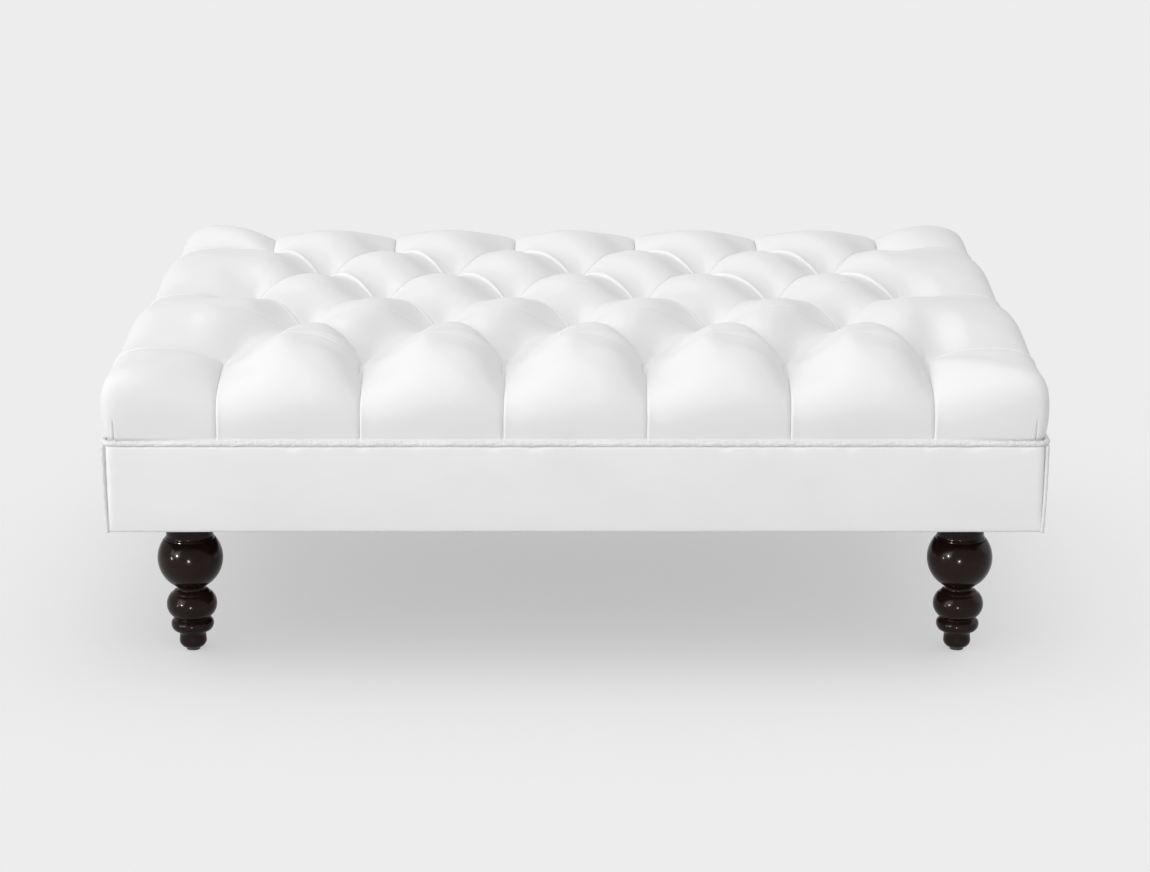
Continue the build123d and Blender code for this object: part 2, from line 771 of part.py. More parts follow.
# Legs: turned profiles, each radius beside its level above the floor
neck_top = ball_level - sqrt(ball_radius**2 - neck_radius**2)
neck_bottom = neck_top - neck_length
bead_bottom = neck_bottom - bead_height
ball_top = ball_level + sqrt(ball_radius**2 - collar_base_radius**2)
collar_start = ball_top + groove_depth
collar_waist = collar_start + 3 * groove_depth

for corner, (side, end) in corner_signs.items():
    with BuildPart() as leg:
        with BuildSketch(Plane(origin=(side * leg_x, end * leg_y, 0), x_dir=(1, 0, 0), z_dir=(0, -1, 0))):
            with BuildLine():
                Line((0, glide_thickness), (sole_radius, glide_thickness))
                ThreePointArc(
                    (sole_radius, glide_thickness),
                    ((sole_radius + 2 * foot_radius) / 3, (2 * glide_thickness + foot_level) / 3),
                    (foot_radius, foot_level),
                )
                Line((foot_radius, foot_level), (ankle_radius, ankle_level))
                ThreePointArc(
                    (ankle_radius, ankle_level),
                    ((3 * ankle_radius + ring_step_radius) / 4, (ankle_level + 2 * ring_step_level) / 3),
                    (ring_step_radius, ring_step_level),
                )
                Line((ring_step_radius, ring_step_level), (ring_step_radius + groove_depth, ring_step_level))
                ThreePointArc(
                    (ring_step_radius + groove_depth, ring_step_level),
                    (ring_radius, ring_level),
                    (ring_neck_radius, ring_neck_level),
                )
                ThreePointArc(
                    (ring_neck_radius, ring_neck_level),
                    (small_ball_radius, small_ball_level),
                    (small_ball_top_radius, bead_bottom),
                )
                Line((small_ball_top_radius, bead_bottom), (small_ball_top_radius - groove_depth, bead_bottom))
                ThreePointArc(
                    (small_ball_top_radius - groove_depth, bead_bottom),
                    (bead_radius, (bead_bottom + 2 * neck_bottom) / 3),
                    (neck_radius, neck_bottom),
                )
                Line((neck_radius, neck_bottom), (neck_radius, neck_top))
                ThreePointArc((neck_radius, neck_top), (ball_radius, ball_level), (collar_base_radius, ball_top))
                Line((collar_base_radius, ball_top), (collar_base_radius - groove_depth, ball_top))
                Line((collar_base_radius - groove_depth, ball_top), (collar_base_radius - groove_depth, collar_start))
                Line((collar_base_radius - groove_depth, collar_start), (collar_radius, collar_waist))
                Line((collar_radius, collar_waist), (collar_radius, leg_height))
                Line((collar_radius, leg_height), (0, leg_height))
                Line((0, leg_height), (0, glide_thickness))
            make_face()
        revolve(axis=Axis((side * leg_x, end * leg_y, 0), (0, 0, 1)))
        with Locations((side * leg_x, end * leg_y, leg_height)):
            Cylinder(bolt_radius, 2 * bolt_in_leg, mode=Mode.SUBTRACT)
        with Locations((side * leg_x, end * leg_y, glide_thickness)):
            Cylinder(glide_pin_radius, 2 * glide_pin_length, mode=Mode.SUBTRACT)
    finish(leg.part, f"leg_{corner}")

leg_places = [(side * leg_x, end * leg_y) for side, end in corner_signs.values()]
block_top = rail_bottom + block_height

with BuildPart() as hanger_bolts:
    with BuildSketch(Plane.XY.offset(leg_height - bolt_in_leg)):
        with Locations(*leg_places):
            Circle(bolt_radius)
    extrude(amount=bolt_in_leg + block_height + 2 * tee_nut_flange_thickness)
finish(hanger_bolts.part, "hanger_bolts")

with BuildPart() as tee_nuts:
    with BuildSketch(Plane.XY.offset(block_top - tee_nut_depth)):
        with Locations(*leg_places):
            Circle(tee_nut_radius)
    extrude(amount=tee_nut_depth)
    with BuildSketch(Plane.XY.offset(block_top)):
        with Locations(*leg_places):
            Circle(tee_nut_flange_radius)
    extrude(amount=tee_nut_flange_thickness)
    with Locations(*[(x, y, block_top) for x, y in leg_places]):
        Cylinder(bolt_radius, 2 * (tee_nut_depth + overrun), mode=Mode.SUBTRACT)
finish(tee_nuts.part, "tee_nuts")

with BuildPart() as foot_glides:
    with BuildSketch(Plane.XY):
        with Locations(*leg_places):
            Circle(glide_radius)
    extrude(amount=glide_thickness)
    with BuildSketch(Plane.XY.offset(glide_thickness)):
        with Locations(*leg_places):
            Circle(glide_pin_radius)
    extrude(amount=glide_pin_length)
finish(foot_glides.part, "foot_glides")
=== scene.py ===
# Ottoman coffee table: the looks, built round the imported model. Sizes are in metres, and outlines in
# millimetres where a note says so
import json
import math

import bmesh
import bpy
import numpy as np
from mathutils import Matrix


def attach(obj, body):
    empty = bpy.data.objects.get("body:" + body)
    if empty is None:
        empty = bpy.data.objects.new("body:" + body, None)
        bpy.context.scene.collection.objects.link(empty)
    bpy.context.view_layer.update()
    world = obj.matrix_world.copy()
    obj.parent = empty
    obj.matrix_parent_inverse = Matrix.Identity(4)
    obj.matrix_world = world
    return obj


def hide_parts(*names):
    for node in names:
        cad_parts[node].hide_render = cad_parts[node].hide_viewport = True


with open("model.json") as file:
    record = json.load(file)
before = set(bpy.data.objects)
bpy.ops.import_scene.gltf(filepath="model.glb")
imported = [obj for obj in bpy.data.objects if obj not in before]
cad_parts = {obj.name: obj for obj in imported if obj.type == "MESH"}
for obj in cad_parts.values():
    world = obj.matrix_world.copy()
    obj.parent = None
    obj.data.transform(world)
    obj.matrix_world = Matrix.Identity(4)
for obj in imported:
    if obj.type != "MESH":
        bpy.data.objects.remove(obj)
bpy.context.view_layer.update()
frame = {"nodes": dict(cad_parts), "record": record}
print("frame loaded")

mm = 0.001
mergeWithin = 0.01 * mm  # nearer points of neighbouring grids become one
scene = bpy.context.scene
scene.view_settings.view_transform = "Standard"

# Camera, at the photograph's distance and tilt
cameraView = {"place": (0.0, -4.098, 1.323), "tiltDegrees": 74.67, "lens": 92.9, "sensor": 36.0}

camera = bpy.data.objects.new("camera", bpy.data.cameras.new("camera"))
camera.data.lens = cameraView["lens"]
camera.data.sensor_width = cameraView["sensor"]
camera.location = cameraView["place"]
camera.rotation_euler = (math.radians(cameraView["tiltDegrees"]), 0, 0)
scene.collection.objects.link(camera)
scene.camera = camera


# Shapes worked out on grids

def smoothPath(points, along):
    # clamped cubic B-spline: each place is a weighted mean of the four control points round it
    points = np.asarray(points, float)
    held = np.vstack([points[:1], points[:1], points, points[-1:], points[-1:]])
    spans = len(held) - 3
    place = np.clip(along, 0, 1) * spans
    first = np.minimum(place.astype(int), spans - 1)
    f = (place - first)[..., None]
    weights = (
        (1 - f) ** 3 / 6, (3 * f**3 - 6 * f**2 + 4) / 6, (-3 * f**3 + 3 * f**2 + 3 * f + 1) / 6, f**3 / 6
    )
    return sum(weight * held[first + step] for step, weight in enumerate(weights))


def crowded(count, share):
    # places from 0 to 1: evenly spaced ones mixed with ones that crowd to both ends as a cosine does
    even = np.linspace(0, 1, count + 1)
    return (1 - share) * even + share * (0.5 - 0.5 * np.cos(np.pi * even))


def smoothStep(value, low, high):
    # rises from 0 at low to 1 at high along 3v squared less 2v cubed
    v = np.clip((value - low) / (high - low), 0, 1)
    return v * v * (3 - 2 * v)


def between(value, start, full, falls, end):
    # rises from 0 at the start to 1, and falls to 0 again at the end, both along a smooth step
    return smoothStep(value, start, full) * (1 - smoothStep(value, falls, end))


def waves(places, wavelengths, seed):
    # sum of plane waves in random directions, mostly between -1 and 1: one sine for each wavelength
    draw = np.random.default_rng(seed)
    total = np.zeros(places.shape[:-1])
    for length in wavelengths:
        way = draw.normal(size=3)
        way /= np.linalg.norm(way)
        total += np.sin(places @ way * (2 * np.pi / length) + draw.uniform(0, 2 * np.pi))
    return total / math.sqrt(len(wavelengths))


def addPiece(name, patches, material, replaced, carried=None):
    # joins grids of points into one mesh, with its faces turned outwards, which takes the place of the CAD
    # nodes named in replaced; carried holds named grids of values that the material reads at the points
    points, faces, start = [], [], 0
    for grid in patches:
        rows, columns = grid.shape[:2]
        corner = start + np.arange(rows * columns).reshape(rows, columns)
        quads = np.stack([corner[:-1, :-1], corner[1:, :-1], corner[1:, 1:], corner[:-1, 1:]], axis=-1)
        points.append(grid.reshape(-1, 3))
        faces.append(quads.reshape(-1, 4))
        start += rows * columns
    mesh = bpy.data.meshes.new(name)
    mesh.from_pydata(np.concatenate(points).tolist(), [], np.concatenate(faces).tolist())
    for key, grids in (carried or {}).items():
        values = np.concatenate([grid.ravel() for grid in grids]).astype(np.float32)
        mesh.attributes.new(key, "FLOAT", "POINT").data.foreach_set("value", values)
    shell = bmesh.new()
    shell.from_mesh(mesh)
    bmesh.ops.remove_doubles(shell, verts=shell.verts, dist=mergeWithin)
    bmesh.ops.recalc_face_normals(shell, faces=shell.faces)
    shell.to_mesh(mesh)
    shell.free()
    mesh.shade_smooth()
    piece = bpy.data.objects.new(name, mesh)
    scene.collection.objects.link(piece)
    mesh.materials.append(material)
    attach(piece, "root")
    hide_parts(*replaced)
    return piece


def wallPatches(body):
    # the six sides of a block of points whose last step goes through its thickness
    return [body[:, :, 0], body[:, :, 1], body[:, 0], body[:, -1], body[0], body[-1]]


# Pulled creases of the pillows: thin raised lines that run from the middle of a pillow to its right tuft, a
# little in front of its row of tufts, painted lighter on the line (painted highlight) and darker beside it
# (painted shade).
# Places along them are shares of the way between two tufts
creases = {
    "height": 0.0006,
    # the colour is painted lighter by this share of a crease line's height (painted highlight), and darker beside
    # it (painted shade)
    "paintedHighlightAndShade": 0.07,
    "lines": [(0.0, 0.0012, 1.0), (0.0055, 0.0030, -0.35)],  # shift, width and share of the height
    "inFront": [0.0045, 0.020, 0.020, 0.020],  # at the middle, for each row from the front
    "besideTuft": [0.0105, 0.011, 0.011, 0.011],  # three quarters of the way to the right tuft
    "along": (0.3, 0.55, 0.93, 0.99),  # where a crease starts, is full, falls and ends
    "meetsRow": (0.82, 1.0),
    "shift": 0.003,  # either way, drawn for each crease
    "force": (0.35, 1.0),  # drawn for each crease
    "reach": 0.025,
    "fadeOver": 0.008,
    "seed": 17,
    "sideStrength": 1.3,  # the seams of the side pillows show as such raised lines too, with the same painted highlight
    "sideAlong": (0.012, 0.03, 0.115, 0.13),  # the same, in metres out from their tufts
}


# Materials

def startMaterial(name, **sockets):
    # a material with one principled shader, whose constant sockets are set here
    material = bpy.data.materials.new(name)
    material.use_nodes = True
    shader = material.node_tree.nodes["Principled BSDF"]
    for socket, value in sockets.items():
        shader.inputs[socket.replace("_", " ")].default_value = value
    return material, material.node_tree, shader


def addNode(tree, kind, **values):
    # a node of that kind; a value names a socket, or else a property of the node
    node = tree.nodes.new(kind)
    for key, value in values.items():
        socket = key.replace("_", " ")
        if socket in node.inputs:
            node.inputs[socket].default_value = value
        else:
            setattr(node, key, value)
    return node


def mathNode(tree, operation, *inputs, **values):
    # output of a math node whose inputs are plain numbers or the outputs of other nodes
    node = addNode(tree, "ShaderNodeMath", operation=operation, **values)
    for socket, value in zip(node.inputs, inputs):
        if isinstance(value, (int, float)):
            socket.default_value = value
        else:
            tree.links.new(value, socket)
    return node.outputs[0]


def grainNoise(tree, scale, stretch=(1, 1, 1), detail=3.0, roughness=0.55):
    # noise on Object coordinates, stretched by a scale for each axis
    place = addNode(tree, "ShaderNodeTexCoord")
    mapping = addNode(tree, "ShaderNodeMapping", Scale=stretch)
    noise = addNode(tree, "ShaderNodeTexNoise", Scale=scale, Detail=detail, Roughness=roughness)
    tree.links.new(place.outputs["Object"], mapping.inputs["Vector"])
    tree.links.new(mapping.outputs["Vector"], noise.inputs["Vector"])
    return noise.outputs["Fac"]


def tintBetween(tree, shader, factor, dark, light, low=0.3, high=0.7, added=None):
    # base colour from dark to light as the factor goes from low to high, with a value added to it if given
    ramp = addNode(tree, "ShaderNodeValToRGB")
    for element, position, colour in zip(ramp.color_ramp.elements, (low, high), (dark, light)):
        element.position = position
        element.color = (*colour, 1)
    tree.links.new(factor, ramp.inputs["Fac"])
    tint = ramp.outputs["Color"]
    if added is not None:
        total = addNode(tree, "ShaderNodeVectorMath", operation="ADD")
        tree.links.new(tint, total.inputs[0])
        tree.links.new(added, total.inputs[1])
        tint = total.outputs["Vector"]
    tree.links.new(tint, shader.inputs["Base Color"])


def roughBetween(tree, shader, factor, low, high):
    # roughness from low to high with the factor
    spread = addNode(tree, "ShaderNodeMapRange")
    spread.inputs["To Min"].default_value = low
    spread.inputs["To Max"].default_value = high
    tree.links.new(factor, spread.inputs["Value"])
    tree.links.new(spread.outputs["Result"], shader.inputs["Roughness"])


def bumpFrom(tree, shader, layers):
    # bumps stacked one on the other: each layer is its height, depth in metres and strength
    last = None
    for height, depth, strength in layers:
        bump = addNode(tree, "ShaderNodeBump", Strength=strength, Distance=depth)
        tree.links.new(height, bump.inputs["Height"])
        if last:
            tree.links.new(last.outputs["Normal"], bump.inputs["Normal"])
        last = bump
    tree.links.new(last.outputs["Normal"], shader.inputs["Normal"])


def creaseAndHighlightHeight(tree):
    # thin raised lines: a bell over the carried distance from the crease, and part of one beside it; the same
    # heights paint the colour lighter on the line (painted highlight) and darker beside it (painted shade)
    away, strength = (
        addNode(tree, "ShaderNodeAttribute", attribute_name=name).outputs["Fac"]
        for name in ("creaseAway", "creaseAndHighlightStrength")
    )
    total = 0.0
    for shift, width, share in creases["lines"]:
        scaled = mathNode(tree, "DIVIDE", mathNode(tree, "ADD", away, shift), width)
        bell = mathNode(tree, "POWER", 1 / math.e, mathNode(tree, "POWER", scaled, 2.0))
        total = mathNode(tree, "ADD", total, mathNode(tree, "MULTIPLY", bell, share))
    return mathNode(tree, "MULTIPLY", total, strength)


velvet = {
    # the border and the cushion are one velvet in a lit and a shaded copy: painted lighter on the border, painted
    # darker on the tufted cushion
    "border": ((0.96, 0.96, 0.96), (0.925, 0.925, 0.925)),  # light and dark colour of each cloth
    # the piping is the same velvet painted darker and patchier, painted shade
    "piping": ((0.90, 0.90, 0.90), (0.76, 0.76, 0.76)),
    "tufted": ((0.905, 0.905, 0.907), (0.885, 0.885, 0.888)),
    "roughness": (0.78, 0.95),
    "plainRoughness": 0.85,  # where nodes aren't read
    "specular": 0.25,
    "sheen": 0.12,
    "sheenRoughness": 0.4,
    "cloudScale": 9.0,
    "cloudStretch": (1, 1, 1.8),
    "crushScale": 70.0,
    "crushDepth": 0.0005,
    "pileScale": 1300.0,
    "pileDepth": 0.00025,
}


def velvetMaterial(name, light, dark, creasedWithHighlight=False):
    # short-pile velvet: faint clouds where the pile leans another way, fine pile and a soft sheen
    material, tree, shader = startMaterial(
        name, Roughness=velvet["plainRoughness"], Specular_IOR_Level=velvet["specular"],
        Sheen_Weight=velvet["sheen"], Sheen_Roughness=velvet["sheenRoughness"],
    )
    clouds = grainNoise(tree, velvet["cloudScale"], velvet["cloudStretch"], 4.0, 0.6)
    pile = grainNoise(tree, velvet["pileScale"], detail=2.0)
    crush = grainNoise(tree, velvet["crushScale"], roughness=0.6)
    layers = [(crush, velvet["crushDepth"], 0.25), (pile, velvet["pileDepth"], 0.2)]
    paintedHighlightAndShade = None
    if creasedWithHighlight:
        height = creaseAndHighlightHeight(tree)
        layers.insert(0, (height, creases["height"], 1.0))
        # painted highlight: the crease heights lighten the base colour on each line, and darken it beside the
        # line as painted shade
        paintedHighlightAndShade = mathNode(tree, "MULTIPLY", height, creases["paintedHighlightAndShade"])
    tintBetween(tree, shader, clouds, dark, light, added=paintedHighlightAndShade)
    roughBetween(tree, shader, crush, *velvet["roughness"])
    bumpFrom(tree, shader, layers)
    return material


wood = {"grainScale": 60.0, "grainDepth": 0.0003, "poreScale": 420.0, "poreDepth": 0.0001, "rougher": 0.15}


def woodMaterial(name, light, dark, roughness, along):
    # grain that is drawn out along one axis
    material, tree, shader = startMaterial(name)
    grain = grainNoise(tree, wood["grainScale"], along, 6.0, 0.62)
    pores = grainNoise(tree, wood["poreScale"], along, 2.0)
    tintBetween(tree, shader, grain, dark, light)
    roughBetween(tree, shader, pores, roughness, roughness + wood["rougher"])
    bumpFrom(tree, shader, [(grain, wood["grainDepth"], 0.2), (pores, wood["poreDepth"], 0.25)])
    return material


def plainMaterial(name, light, dark, scale, roughness, bumpDepth, metallic=0.0):
    # evenly mottled stuff, such as foam, card, cloth or plated steel
    material, tree, shader = startMaterial(name, Metallic=metallic)
    mottle = grainNoise(tree, scale, detail=4.0)
    fine = grainNoise(tree, scale * 4, detail=2.0)
    tintBetween(tree, shader, mottle, dark, light)
    roughBetween(tree, shader, fine, *roughness)
    bumpFrom(tree, shader, [(fine, bumpDepth, 0.5)])
    return material


lacquer = {
    "light": (0.019, 0.0080, 0.0062),
    "dark": (0.011, 0.0045, 0.0035),
    "roughness": (0.16, 0.24),
    "specular": 0.06,
    "coat": 0.22,
    "coatRoughness": 0.12,
    "coatRefraction": 1.45,
    "grainScale": 55.0,
    "grainStretch": (1, 1, 0.12),
    "grainDepth": 0.00005,
    "flowScale": 30.0,
}


def lacquerMaterial(name):
    # dark espresso stain under gloss lacquer, the grain just showing along the leg
    material, tree, shader = startMaterial(
        name, Specular_IOR_Level=lacquer["specular"], Coat_Weight=lacquer["coat"],
        Coat_Roughness=lacquer["coatRoughness"], Coat_IOR=lacquer["coatRefraction"],
    )
    grain = grainNoise(tree, lacquer["grainScale"], lacquer["grainStretch"], 6.0, 0.6)
    flow = grainNoise(tree, lacquer["flowScale"], detail=2.0)
    tintBetween(tree, shader, grain, lacquer["dark"], lacquer["light"])
    roughBetween(tree, shader, flow, *lacquer["roughness"])
    bumpFrom(tree, shader, [(grain, lacquer["grainDepth"], 0.15)])
    return material


# one velvet in a lit and a shaded copy: painted lighter on the border, painted darker on the tufted cushion
borderVelvetPaintedLighter = velvetMaterial("borderVelvetPaintedLighter", *velvet["border"])
# the same velvet again, painted darker and patchier on the piping as painted shade
pipingVelvetPaintedDarker = velvetMaterial("pipingVelvetPaintedDarker", *velvet["piping"])
tuftedVelvetPaintedDarker = velvetMaterial("tuftedVelvetPaintedDarker", *velvet["tufted"], creasedWithHighlight=True)
espressoLacquer = lacquerMaterial("espressoLacquer")
plainLooks = {
    # name, light and dark colour, scale of the mottle, least and most roughness, depth of the bump, metallic
    "foam": ("creamFoam", (0.85, 0.8, 0.64), (0.76, 0.7, 0.54), 500.0, (0.9, 1.0), 0.6 * mm),
    "wadding": ("wadding", (0.9, 0.9, 0.89), (0.8, 0.8, 0.79), 180.0, (0.92, 1.0), 1.2 * mm),
    "twine": ("waxedTwine", (0.78, 0.72, 0.6), (0.64, 0.58, 0.46), 900.0, (0.5, 0.7), 0.2 * mm),
    "cotton_cord": ("cottonCord", (0.85, 0.82, 0.74), (0.74, 0.7, 0.62), 700.0, (0.85, 0.97), 0.4 * mm),
    "washer_plastic": ("washerPlastic", (0.8, 0.8, 0.77), (0.74, 0.74, 0.71), 160.0, (0.38, 0.5), 0.05 * mm),
    "card": ("brownCard", (0.5, 0.39, 0.25), (0.38, 0.29, 0.18), 420.0, (0.8, 0.95), 0.15 * mm),
    "dust_cloth": ("dustCloth", (0.045, 0.045, 0.05), (0.02, 0.02, 0.023), 900.0, (0.85, 0.97), 0.2 * mm),
    "plated_steel": (
        "platedSteel", (0.72, 0.73, 0.75), (0.6, 0.61, 0.63), 260.0, (0.28, 0.42), 0.03 * mm, 1.0
    ),
    "dark_nylon": ("blackNylon", (0.03, 0.03, 0.03), (0.018, 0.018, 0.018), 300.0, (0.45, 0.6), 0.05 * mm),
}
cadMaterials = {slot: plainMaterial(*look) for slot, look in plainLooks.items()}
cadMaterials |= {
    "plywood": woodMaterial("birchPlywood", (0.74, 0.58, 0.39), (0.6, 0.44, 0.27), 0.6, (0.1, 1, 1)),
    "frame_wood": woodMaterial("frameWood", (0.66, 0.48, 0.3), (0.5, 0.34, 0.19), 0.62, (0.08, 0.5, 1)),
    "dark_wood": espressoLacquer,
    "white_cloth": borderVelvetPaintedLighter,
}
slotOf = {row["node"]: row["material_slot"] for row in frame["record"]["subparts"]}
for node, solid in frame["nodes"].items():
    solid.data.materials.clear()
    solid.data.materials.append(cadMaterials[slotOf[node]])
print("materials made")


# Tufted cushion
cushion = {
    "halfWidth": 0.605,
    "halfDepth": 0.440,
    "base": 0.314,
    "tuftHeight": 0.074,
    "pitch": 0.184,
    "rowPitch": 0.1605,
    "dome": (0, 0.0158, 0.0128, 0.0128, 0.0128),  # what a pillow's middle adds to the arches of its seams
    "domePower": 2.6,
    "softRise": (0.06, 0.44),  # where a dome rises whose seam doesn't show
    "lipReach": 0.0017,  # folded edge of a pleat
    "foldFades": (0.3, 1.0),  # shares of the way in over which the edge's folds die out
    "easeOver": 0.06,  # how far an edge pillow takes on the slope of the diamond beside it
    "easePower": 6,
    "pitDepth": 0.004,
    "pitRadius": 0.007,
    "settleFrom": 0.012,  # above the base; the unevenness leaves what is lower alone
    "unevenness": 0.0005,
    "unevenLengths": (0.071, 0.097, 0.13, 0.19),
    "wander": 0.0010,  # tufts and seams off their even places
    "wanderLengths": ((0.31, 0.43, 0.27), (0.29, 0.47, 0.37)),
    "seeds": (3, 4, 5),
    "nearSeam": (0, 0.5, 1.1, 1.8, 2.6, 3.5, 4.5, 5.8, 7.8, 11, 15.5),  # lines of the grid beside a seam, in mm
    "pillowSteps": 22,
    "edgeSteps": 56,
}
# Seams from one row of tufts back to the next, front rows first: height of the arch, its power (the higher,
# the more it pulls in at its tufts), how far it leans back or forward, groove, roll of the pillow in front of
# it, and softness (1 where the fabric runs over it unbroken). No seam lies at the first place; the last one's
# arch only shapes the half diamonds at the back
seams = {
    "toRight": [
        (0, 1.0, 1.0, 1.0, 0, 0, 0),
        (0.0150, 1.30, 1.2, 1.0, 0, 0, 1),
        (0.0260, 1.10, 1.0, 1.0, 0, 0, 0.4),
        (0.0255, 1.15, 1.0, 1.0, 0.0020, 0, 0),
        (0.0255, 1.15, 1.0, 1.0, 0.0020, 0, 0),
        (0.0262, 0.45, 1.0, 1.0, 0, 0, 0),
    ],
    "toLeft": [
        (0, 1.0, 1.0, 1.0, 0, 0, 0),
        (0.0265, 0.90, 1.0, 1.0, 0.0018, 0.0008, 0),
        (0.0268, 0.78, 1.0, 1.0, 0.0018, 0.0018, 0.35),
        (0.0270, 0.72, 1.0, 1.0, 0.0026, 0.0050, 0.8),
        (0.0270, 0.72, 1.0, 1.0, 0.0026, 0.0050, 0.8),
        (0.0262, 0.45, 1.0, 1.0, 0, 0, 0),
    ],
    "grooveReach": 0.0011,
    "rollAt": 0.0032,
    "rollWidth": 0.0017,
}
# Crest of a front pillow along its row, as in the photograph: a low toe, a gentle rise from the left tuft and
# a fall to the right tuft that gets ever steeper
frontCrest = {
    "height": 0.0395,
    "toe": 0.003,
    "toePower": 12,
    "rise": (0.08, 0.495),
    "fallFrom": 0.55,
    "fallOver": 0.42,
    "fallPower": 3.2,
    "fade": 1.85,
}
# Seams of the edge and their pillows: groove or, below 0, raised line; its reach; the lip on its right side;
# power and lean of the pillow's fullness; where it starts to turn into the diamond behind it
edgeSeams = {
    "front": {"groove": 0.0042, "reach": 0.0014, "lip": 0.0014, "power": 2.4, "lean": 1.3, "turnFrom": 0.04},
    "back": {"groove": 0.0020, "reach": 0.0011, "lip": 0.0011, "power": 0.40, "lean": 0.80, "turnFrom": 0.3},
    "side": {"groove": -0.0026, "reach": 0.0015, "lip": 0.0, "power": 1.5, "lean": 1.0, "turnFrom": 0.1},
}
# Control points of the outlines across the edge: (inwards from the face, up from the base) in millimetres
edgeOutlines = {
    "frontSeam": [(7, 0.5), (5.9, 4), (4.9, 12), (4.3, 24), (8, 41), (20, 53.5), (42, 61), (66, 65.5),
                  (88, 69.5), (106, 72.5), (119, 74)],
    "frontCrest": [(5.5, 0.5), (4.2, 4), (1.8, 15), (0, 35), (2, 54), (10, 74), (27, 91), (54, 105),
                   (82, 112.5), (104, 116), (119, 116)],
    "backSeam": [(5.5, 0.5), (4.6, 3), (4.2, 12), (4, 34), (6, 58), (13, 76), (29, 85.5), (52, 89),
                 (76, 88), (99, 80.5), (119, 74)],
    "backCrest": [(3, 0.5), (1.5, 3), (0.5, 12), (0, 33), (2, 57), (9, 77), (25, 93), (50, 106),
                  (80, 113), (104, 116), (119, 116)],
    "sideSeam": [(4.5, 0.5), (2.8, 3), (0.5, 12), (-1, 34), (-1, 56), (2, 74), (11, 86), (36, 92.5),
                 (72, 93.5), (114, 88), (145, 74)],
    "sideCrest": [(3, 0.5), (1, 3), (-1, 12), (-3, 33), (-3, 57), (0, 78), (7, 96), (26, 107),
                  (60, 113), (104, 116), (145, 116)],
    "frontCornerCrest": [(3, 0.5), (1, 3), (-1, 12), (-3, 32), (-3, 54), (0, 71), (8, 84), (32, 93),
                         (70, 94), (114, 87), (145, 74)],
    "backCornerCrest": [(3, 0.5), (1, 3), (-1, 12), (-3, 33), (-3, 57), (0, 79), (9, 99), (33, 112),
                        (72, 117), (114, 104), (145, 74)],
}
foamCavity = {
    "halfWidth": 0.583,  # as far in from the cushion's face at the front and back as at the sides
    "bottom": 0.3083,
    "top": 0.3645,
    "chamfer": 0.015,
    "behindWelt": 0.0033,
    "underWelt": 0.001,
}
# Corner pillows: exponent of the plan at the edge and at the tuft (2 is round, the higher the squarer), where it
# changes, where the front or back seam's outline turns into the side one's, and the fullness's two powers
cornerFan = {"squareness": (20, 3.4), "rounds": (0.25, 0.85), "blend": (0.15, 0.85), "powers": (0.75, 1.4)}
dart = {
    "inset": 0.015,
    "height": 0.027,
    "depth": 0.003,
    "halfWidth": 0.0009,
    "fadeOver": 0.006,
    "setsIn": (0.5, 0.8),  # shares of the way out to the face
    "lines": (-5, 6.1, 0.55),  # lines of the grid over it, in mm
}

outerColumn = cushion["pitch"] * 2.5
outerRow = cushion["rowPitch"] * 2
frontRun = cushion["halfDepth"] - outerRow
sideRun = cushion["halfWidth"] - outerColumn
tuftLevel = cushion["base"] + cushion["tuftHeight"]
tufts = np.array([
    ((place - (5 - row % 2) / 2) * cushion["pitch"], (row - 2) * cushion["rowPitch"])
    for row in range(5)
    for place in range(6 - row % 2)
])  # rows of 6, 5, 6, 5 and 6
slopeStep = 1e-4  # share of a diamond over which its slope is taken
seamSpacing = cushion["pitch"] * cushion["rowPitch"] / math.hypot(cushion["pitch"] / 2, cushion["rowPitch"])


def seamToSeam(width):
    # places from 0 to 1 between two seams that far apart: crowded beside both, even between
    near = np.array(cushion["nearSeam"]) * mm / width
    middle = np.linspace(near[-1], 1 - near[-1], cushion["pillowSteps"] + 1)[1:-1]
    return np.concatenate([near, middle, 1 - near[::-1]])


pleatPlaces = seamToSeam(seamSpacing)
inwardPlaces = np.linspace(0, 1, cushion["edgeSteps"] + 1)


def seamArch(seam, along):
    # the seam's height over its two tufts: half a sine wave to a power, its top moved along by powers too
    height, power, back, forward = seam[:4]
    place = 1 - (1 - np.clip(along, 0, 1) ** back) ** forward
    return height * np.sin(np.pi * np.clip(place, 0, 1)).clip(0) ** power


def halfDomes(across, softStart, softEnd):
    # 0 at two seams and 1 between them, each half either rising at once or easing in and out
    crisp = 1 - np.abs(2 * across - 1) ** cushion["domePower"]
    soft = smoothStep(np.minimum(across, 1 - across), *cushion["softRise"])
    share = np.where(across < 0.5, softStart, softEnd)
    return crisp + (soft - crisp) * share


def rowCrest(along):
    # height of the measured crest from the left tuft (0) to the right one (1)
    rise = smoothStep(along, *frontCrest["rise"])
    fall = 1 - np.clip((along - frontCrest["fallFrom"]) / frontCrest["fallOver"], 0, 1) ** frontCrest["fallPower"]
    toe = 1 - np.abs(2 * along - 1) ** frontCrest["toePower"]
    return frontCrest["height"] * rise * fall + frontCrest["toe"] * toe


